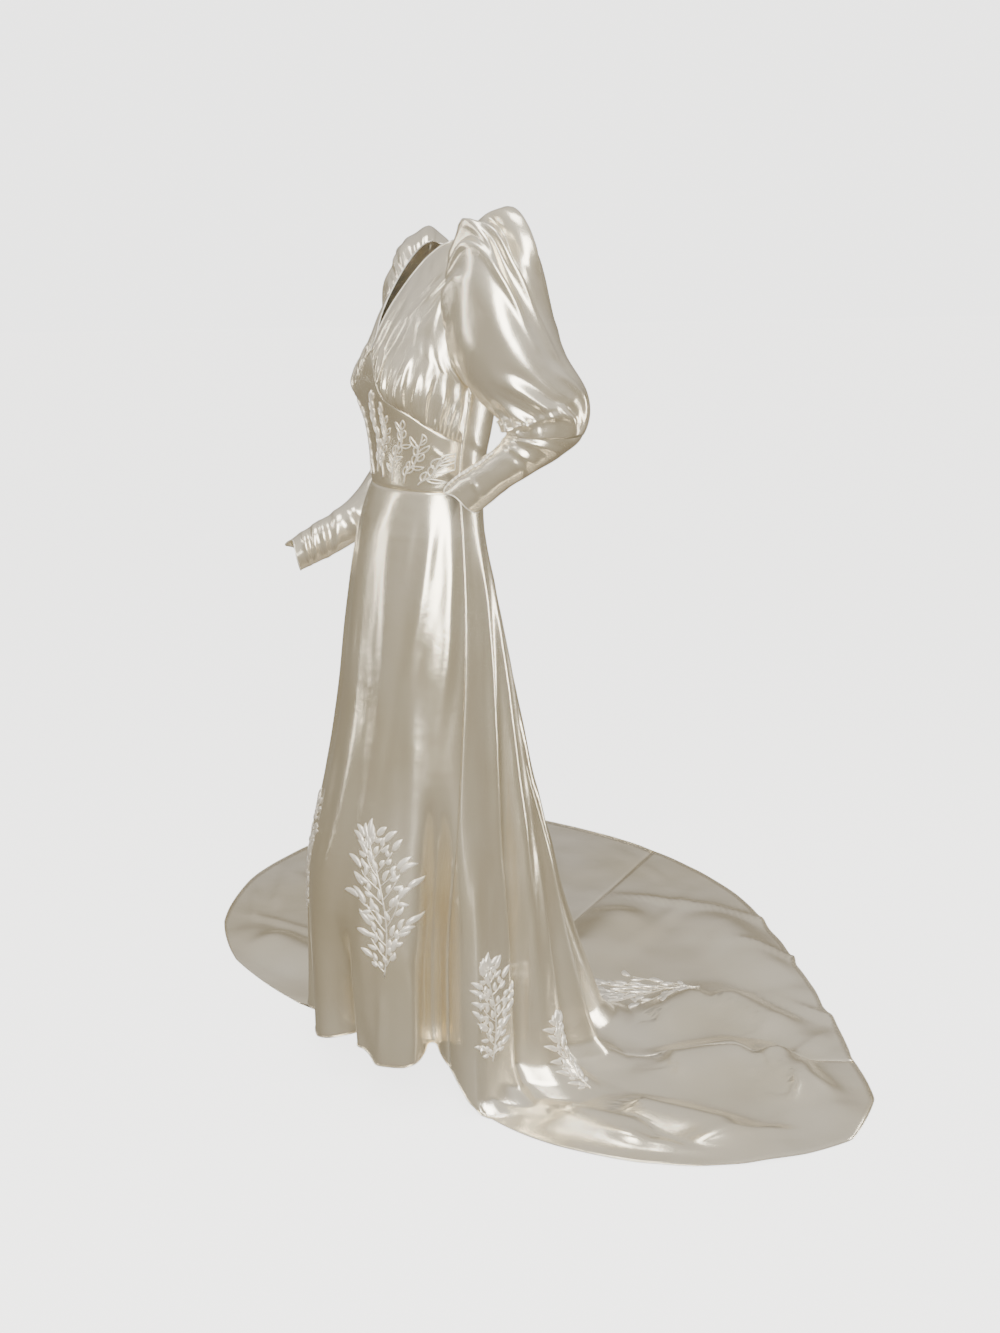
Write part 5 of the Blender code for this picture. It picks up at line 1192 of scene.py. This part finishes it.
def add_yoke_vines():
    rng = np.random.RandomState(7)
    parts = []

    def place(p, q):
        turn = np.degrees(np.arcsin(np.clip(p / 0.135, -0.999, 0.999)))
        limit = along(YOKE_EDGES[1], np.clip(np.abs(turn) / 94.5, 0.0, 1.0))[..., 1] - 0.006
        return yoke_surface(turn, np.minimum(q, limit))

    def outline(base, heading, curl, length, width):
        s = np.concatenate((np.linspace(0.0, 1.0, 12), np.linspace(1.0, 0.0, 12)[1:-1]))
        side = np.concatenate((np.full(12, 1.0), np.full(10, -1.0)))
        turned = heading + curl * s
        p = base[0] + length * s * np.sin(heading + 0.5 * curl * s) + np.cos(turned) * side * width * np.sin(math.pi * s) ** 0.8
        q = base[1] + length * s * np.cos(heading + 0.5 * curl * s) - np.sin(turned) * side * width * np.sin(math.pi * s) ** 0.8
        points, normals = place(p, q)
        return tube(points + normals * 0.0006, normals, 0.0011, sides=6, closed=True)

    for foot_turn, foot_height, heading, length, leaves in YOKE_VINES:
        steps = np.linspace(0.0, 1.0, 30)
        turned = np.radians(heading) + 0.35 * np.sin(steps * 9.0 + foot_turn)
        start = np.array([0.135 * math.sin(math.radians(foot_turn)), foot_height])
        line = start + np.cumsum(np.column_stack((np.sin(turned), np.cos(turned))) * length / 30.0, axis=0)
        points, normals = place(line[:, 0], line[:, 1])
        parts.append(tube(points + normals * 0.0006, normals, 0.0012, sides=6))
        for k in range(leaves):
            for side in (-1.0, 1.0):
                spot = int(4 + 24 * (k + 0.25 * (side + 1.0)) / leaves)
                size = 0.020 * rng.uniform(0.7, 1.1)
                parts.append(outline(line[spot], turned[spot] + side * rng.uniform(0.6, 1.2), -side * rng.uniform(0.4, 1.6),
                                     size, 0.0030))
    piece = add_mesh("spray_yoke_vines", *join(parts), TRIM)
    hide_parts("spray_yoke")
    return piece


# Buttons and loops of the sleeves.
BUTTONS_PER_SLEEVE = 12
BUTTON_RADIUS = 0.0041
BUTTON_HEIGHT = 0.0036
BUTTON_RINGS = (9.6, 12.75)
BUTTON_TURNS = {"left": 205.0, "right": 330.0}
BUTTON_PROFILE = ((0.00, 0.30), (0.00, 0.62), (0.16, 0.90), (0.38, 1.00), (0.62, 0.90), (0.82, 0.66), (0.95, 0.34), (1.00, 0.02))


def add_buttons():
    pieces = {}
    for word, turn in BUTTON_TURNS.items():
        cloth = "sleeve_" + word + "_lower_cloth"
        last = len(LEFT_SLEEVE) - 1.0
        rings = np.linspace(*BUTTON_RINGS, 80)
        rows = (rings - LOWER_SLEEVE_START) / (last - LOWER_SLEEVE_START)
        spots = surface(cloth, rows, np.full(80, turn / 360.0))[0]
        ways = np.concatenate(([0.0], np.cumsum(np.linalg.norm(np.diff(spots, axis=0), axis=1))))
        parts, loops = [], []
        sides = 16
        angle = np.linspace(0.0, 2.0 * math.pi, sides, endpoint=False)
        for number in range(BUTTONS_PER_SLEEVE):
            ring = np.interp(ways[-1] * number / (BUTTONS_PER_SLEEVE - 1), ways, rings)
            row = np.array([(ring - LOWER_SLEEVE_START) / (last - LOWER_SLEEVE_START)])
            centre, normal = (value[0] for value in surface(cloth, row, np.array([turn / 360.0])))
            ahead = surface(cloth, row + 0.01, np.array([turn / 360.0]))[0][0]
            way = unit(ahead - centre)
            across = unit(np.cross(way, normal))
            way = np.cross(normal, across)
            points, faces = [], []
            for level, share in BUTTON_PROFILE:
                circle = np.cos(angle)[:, None] * across + np.sin(angle)[:, None] * way
                points.append(centre + normal * (0.0002 + BUTTON_HEIGHT * level) + BUTTON_RADIUS * share * circle)
            for i in range(len(BUTTON_PROFILE) - 1):
                for j in range(sides):
                    a, b = i * sides + j, i * sides + (j + 1) % sides
                    faces.append((a, b, b + sides, a + sides))
            faces.append(tuple(range(sides))[::-1])
            faces.append(tuple((len(BUTTON_PROFILE) - 1) * sides + j for j in range(sides)))
            parts.append((np.concatenate(points), faces))
            bow = np.linspace(-0.5 * math.pi, 0.5 * math.pi, 11)
            arc = centre + normal * 0.0009 + across * (0.0052 * np.cos(bow) + 0.0006)[:, None] + way * (0.0046 * np.sin(bow))[:, None]
            head = centre - across * 0.0015 + normal * 0.0008
            arc = np.concatenate(((head - way * 0.0046)[None], arc, (head + way * 0.0046)[None]))
            loops.append(tube(arc, np.broadcast_to(normal, arc.shape), 0.0006, sides=6))
        piece = add_mesh("buttons_" + word, *join(parts), TRIM)
        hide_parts(*["button_" + word + "_" + str(k + 1) for k in range(BUTTONS_PER_SLEEVE)])
        loop_piece = add_mesh("button_loops_" + word, *join(loops), TRIM)
        pieces[cloth] = [piece, loop_piece]
    return pieces


def add_edges():
    """Rolled edge of the neck and narrow folded edges of the cuffs and the hem."""
    pieces = {}
    for side, word in ((1.0, "left"), (-1.0, "right")):
        points, normals = surface("bodice_front_" + word + "_cloth", np.linspace(0.0, 1.0, 90), np.zeros(90))
        spots, faces = tube(points - normals * 0.0003, normals, 0.0017, sides=8, flat=0.75)
        piece = add_mesh("neck_edge_" + word, spots, faces, TRIM)
        pieces["bodice_front_" + word + "_cloth"] = [piece]
        points, normals = surface("sleeve_" + word + "_lower_cloth", np.full(96, 1.0), np.arange(96) / 96.0)
        spots, faces = tube(points - normals * 0.0003, normals, 0.0012, sides=8, closed=True)
        piece = add_mesh("cuff_edge_" + word, spots, faces, TRIM)
        pieces["sleeve_" + word + "_lower_cloth"] = [piece]
    points, normals = surface("bodice_back_cloth", np.ones(90), np.linspace(0.16, 0.84, 90))
    spots, faces = tube(points - normals * 0.0003, normals, 0.0016, sides=8)
    pieces["bodice_back_cloth"] = [add_mesh("neck_edge_back", spots, faces, TRIM)]
    for panel in SKIRT_PANELS:
        cloth = panel[0] + "_cloth"
        count = 200
        points, normals = surface(cloth, np.ones(count), np.linspace(0.0, 1.0, count))
        points = points - normals * 0.0001
        points[:, 2] = np.maximum(points[:, 2], 0.0014)
        spots, faces = tube(points, normals, 0.0012, sides=6)
        pieces[cloth] = [add_mesh(panel[0] + "_hem_edge", spots, faces, SATIN)]
    return pieces


with_pieces = {}
for made in (add_sprays(), add_buttons(), add_edges()):
    for cloth_name, made_pieces in made.items():
        with_pieces.setdefault(cloth_name, []).extend(made_pieces)
with_pieces.setdefault("midriff_yoke_cloth", []).append(add_yoke_vines())


# Studio: pale floor, soft lights and the camera.
CAMERA_AZIMUTH = 68.0
CAMERA_TILT = 13.73
CAMERA_AWAY = 2.782
CAMERA_HEIGHT = 0.003
FOCAL_PIXELS = 1629.0
PHOTO_WIDTH = 1000.0
PHOTO_HEIGHT = 1333.0
AXIS_COLUMN = 426.6
AXIS_ROW = 653.0
SENSOR = 36.0
# Half size of the glowing card that paints a khaki reflection of shade into the satin's gloss.
SHADE_CARD_HALF = 29.0
azimuth = math.radians(CAMERA_AZIMUTH)
TOWARDS = Vector((math.sin(azimuth), -math.cos(azimuth), 0.0))
RIGHT = Vector((math.cos(azimuth), math.sin(azimuth), 0.0))


def add_floor():
    mesh = bpy.data.meshes.new("studio_floor")
    half = 30.0
    level = -HOLD_HEIGHT - 0.0005
    mesh.from_pydata([(-half, -half, level), (half, -half, level), (half, half, level), (-half, half, level)], [], [(0, 1, 2, 3)])
    material, nodes, _ = new_material("floor")
    nodes["Principled BSDF"].inputs["Base Color"].default_value = (0.45, 0.447, 0.44, 1.0)
    nodes["Principled BSDF"].inputs["Emission Color"].default_value = (1.0, 0.99, 0.97, 1.0)
    nodes["Principled BSDF"].inputs["Emission Strength"].default_value = 3.0
    nodes["Principled BSDF"].inputs["Roughness"].default_value = 0.7
    mesh.materials.append(material)
    floor = bpy.data.objects.new("studio_floor", mesh)
    floor.visible_diffuse = False
    bpy.context.scene.collection.objects.link(floor)
    floor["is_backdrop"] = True


def add_shade_reflection_card():
    """Dark card that only shows in the gloss of the cloth, as a studio's black card does, with a faint warm glow: a
    painted khaki reflection of shade on the satin.
    """
    mesh = bpy.data.meshes.new("shade_reflection_card")
    level = -HOLD_HEIGHT + 0.0002
    mesh.from_pydata(
        [(-SHADE_CARD_HALF, -SHADE_CARD_HALF, level), (SHADE_CARD_HALF, -SHADE_CARD_HALF, level), (SHADE_CARD_HALF, SHADE_CARD_HALF, level),
         (-SHADE_CARD_HALF, SHADE_CARD_HALF, level)], [], [(0, 1, 2, 3)])
    material, nodes, _ = new_material("shade_card")
    nodes["Principled BSDF"].inputs["Base Color"].default_value = (0.01, 0.008, 0.006, 1.0)
    # Faint warm glow of the card, seen only in reflections: painted khaki shade in the gloss of the satin.
    nodes["Principled BSDF"].inputs["Emission Color"].default_value = (1.0, 0.80, 0.42, 1.0)
    nodes["Principled BSDF"].inputs["Emission Strength"].default_value = 0.165
    nodes["Principled BSDF"].inputs["Roughness"].default_value = 1.0
    mesh.materials.append(material)
    shade_card = bpy.data.objects.new("shade_reflection_card", mesh)
    shade_card.visible_camera = False
    shade_card.visible_diffuse = False
    shade_card.visible_shadow = False
    bpy.context.scene.collection.objects.link(shade_card)
    shade_card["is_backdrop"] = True


def add_light(name, right, towards, up, size, power, colour, aim):
    light = bpy.data.lights.new(name, "AREA")
    light.shape = "RECTANGLE"
    light.size, light.size_y = size
    light.energy = power
    light.color = colour
    lamp = bpy.data.objects.new(name, light)
    bpy.context.scene.collection.objects.link(lamp)
    lamp.location = RIGHT * right + TOWARDS * towards + Vector((0.0, 0.0, up))
    way = Vector(aim) - lamp.location
    lamp.rotation_euler = way.to_track_quat("-Z", "Y").to_euler()
    return lamp


# Lights. Columns: name, right of the camera's line, towards the camera, height, size, power, colour.
LIGHTS = (
    ("window", -0.15, 3.6, 0.7, (2.2, 3.0), 260.0, (1.0, 0.99, 0.97)),
    ("ceiling", -0.5, 0.9, 2.2, (1.2, 1.2), 42.0, (1.0, 0.99, 0.97)),
    ("back", 3.0, -0.6, -0.7, (0.3, 1.4), 34.0, (1.0, 0.97, 0.93)),
    ("side", -3.0, -0.4, 0.0, (0.3, 2.0), 18.0, (1.0, 0.97, 0.93)),
)


def add_studio():
    add_floor()
    add_shade_reflection_card()
    for name, right, towards, up, size, power, colour in LIGHTS:
        add_light(name, right, towards, up, size, power, colour, (0.0, 0.0, -0.5))
    world = bpy.data.worlds.new("studio")
    bpy.context.scene.world = world
    world.use_nodes = True
    nodes, links = world.node_tree.nodes, world.node_tree.links
    nodes["Background"].inputs["Strength"].default_value = 1.0
    place = nodes.new("ShaderNodeTexCoord")
    split = nodes.new("ShaderNodeSeparateXYZ")
    links.new(place.outputs["Generated"], split.inputs["Vector"])
    walls = nodes.new("ShaderNodeValToRGB")
    walls.color_ramp.elements[0].position = 0.02
    walls.color_ramp.elements[0].color = (0.170, 0.136, 0.072, 1.0)
    walls.color_ramp.elements[1].position = 0.50
    walls.color_ramp.elements[1].color = (0.62, 0.60, 0.585, 1.0)
    links.new(split.outputs["Z"], walls.inputs["Fac"])
    links.new(walls.outputs["Color"], nodes["Background"].inputs["Color"])
    seen = nodes.new("ShaderNodeBackground")
    seen.inputs["Color"].default_value = (1.0, 0.99, 0.97, 1.0)
    seen.inputs["Strength"].default_value = 3.2
    path = nodes.new("ShaderNodeLightPath")
    mix = nodes.new("ShaderNodeMixShader")
    links.new(path.outputs["Is Camera Ray"], mix.inputs["Fac"])
    links.new(nodes["Background"].outputs["Background"], mix.inputs[1])
    links.new(seen.outputs["Background"], mix.inputs[2])
    links.new(mix.outputs["Shader"], nodes["World Output"].inputs["Surface"])


def add_camera():
    data = bpy.data.cameras.new("photo_camera")
    data.sensor_width = SENSOR
    data.lens = FOCAL_PIXELS / PHOTO_HEIGHT * SENSOR
    data.shift_x = (0.5 * PHOTO_WIDTH - AXIS_COLUMN) / PHOTO_HEIGHT
    data.shift_y = (AXIS_ROW - 0.5 * PHOTO_HEIGHT) / PHOTO_HEIGHT
    camera = bpy.data.objects.new("photo_camera", data)
    bpy.context.scene.collection.objects.link(camera)
    camera.location = TOWARDS * CAMERA_AWAY + Vector((0.0, 0.0, CAMERA_HEIGHT))
    tilt = math.radians(CAMERA_TILT)
    look = -TOWARDS * math.cos(tilt) - Vector((0.0, 0.0, math.sin(tilt)))
    camera.rotation_mode = "QUATERNION"
    camera.rotation_quaternion = look.to_track_quat("-Z", "Y")
    bpy.context.scene.camera = camera


add_studio()
add_camera()
visual_box = [list(corner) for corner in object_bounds()]
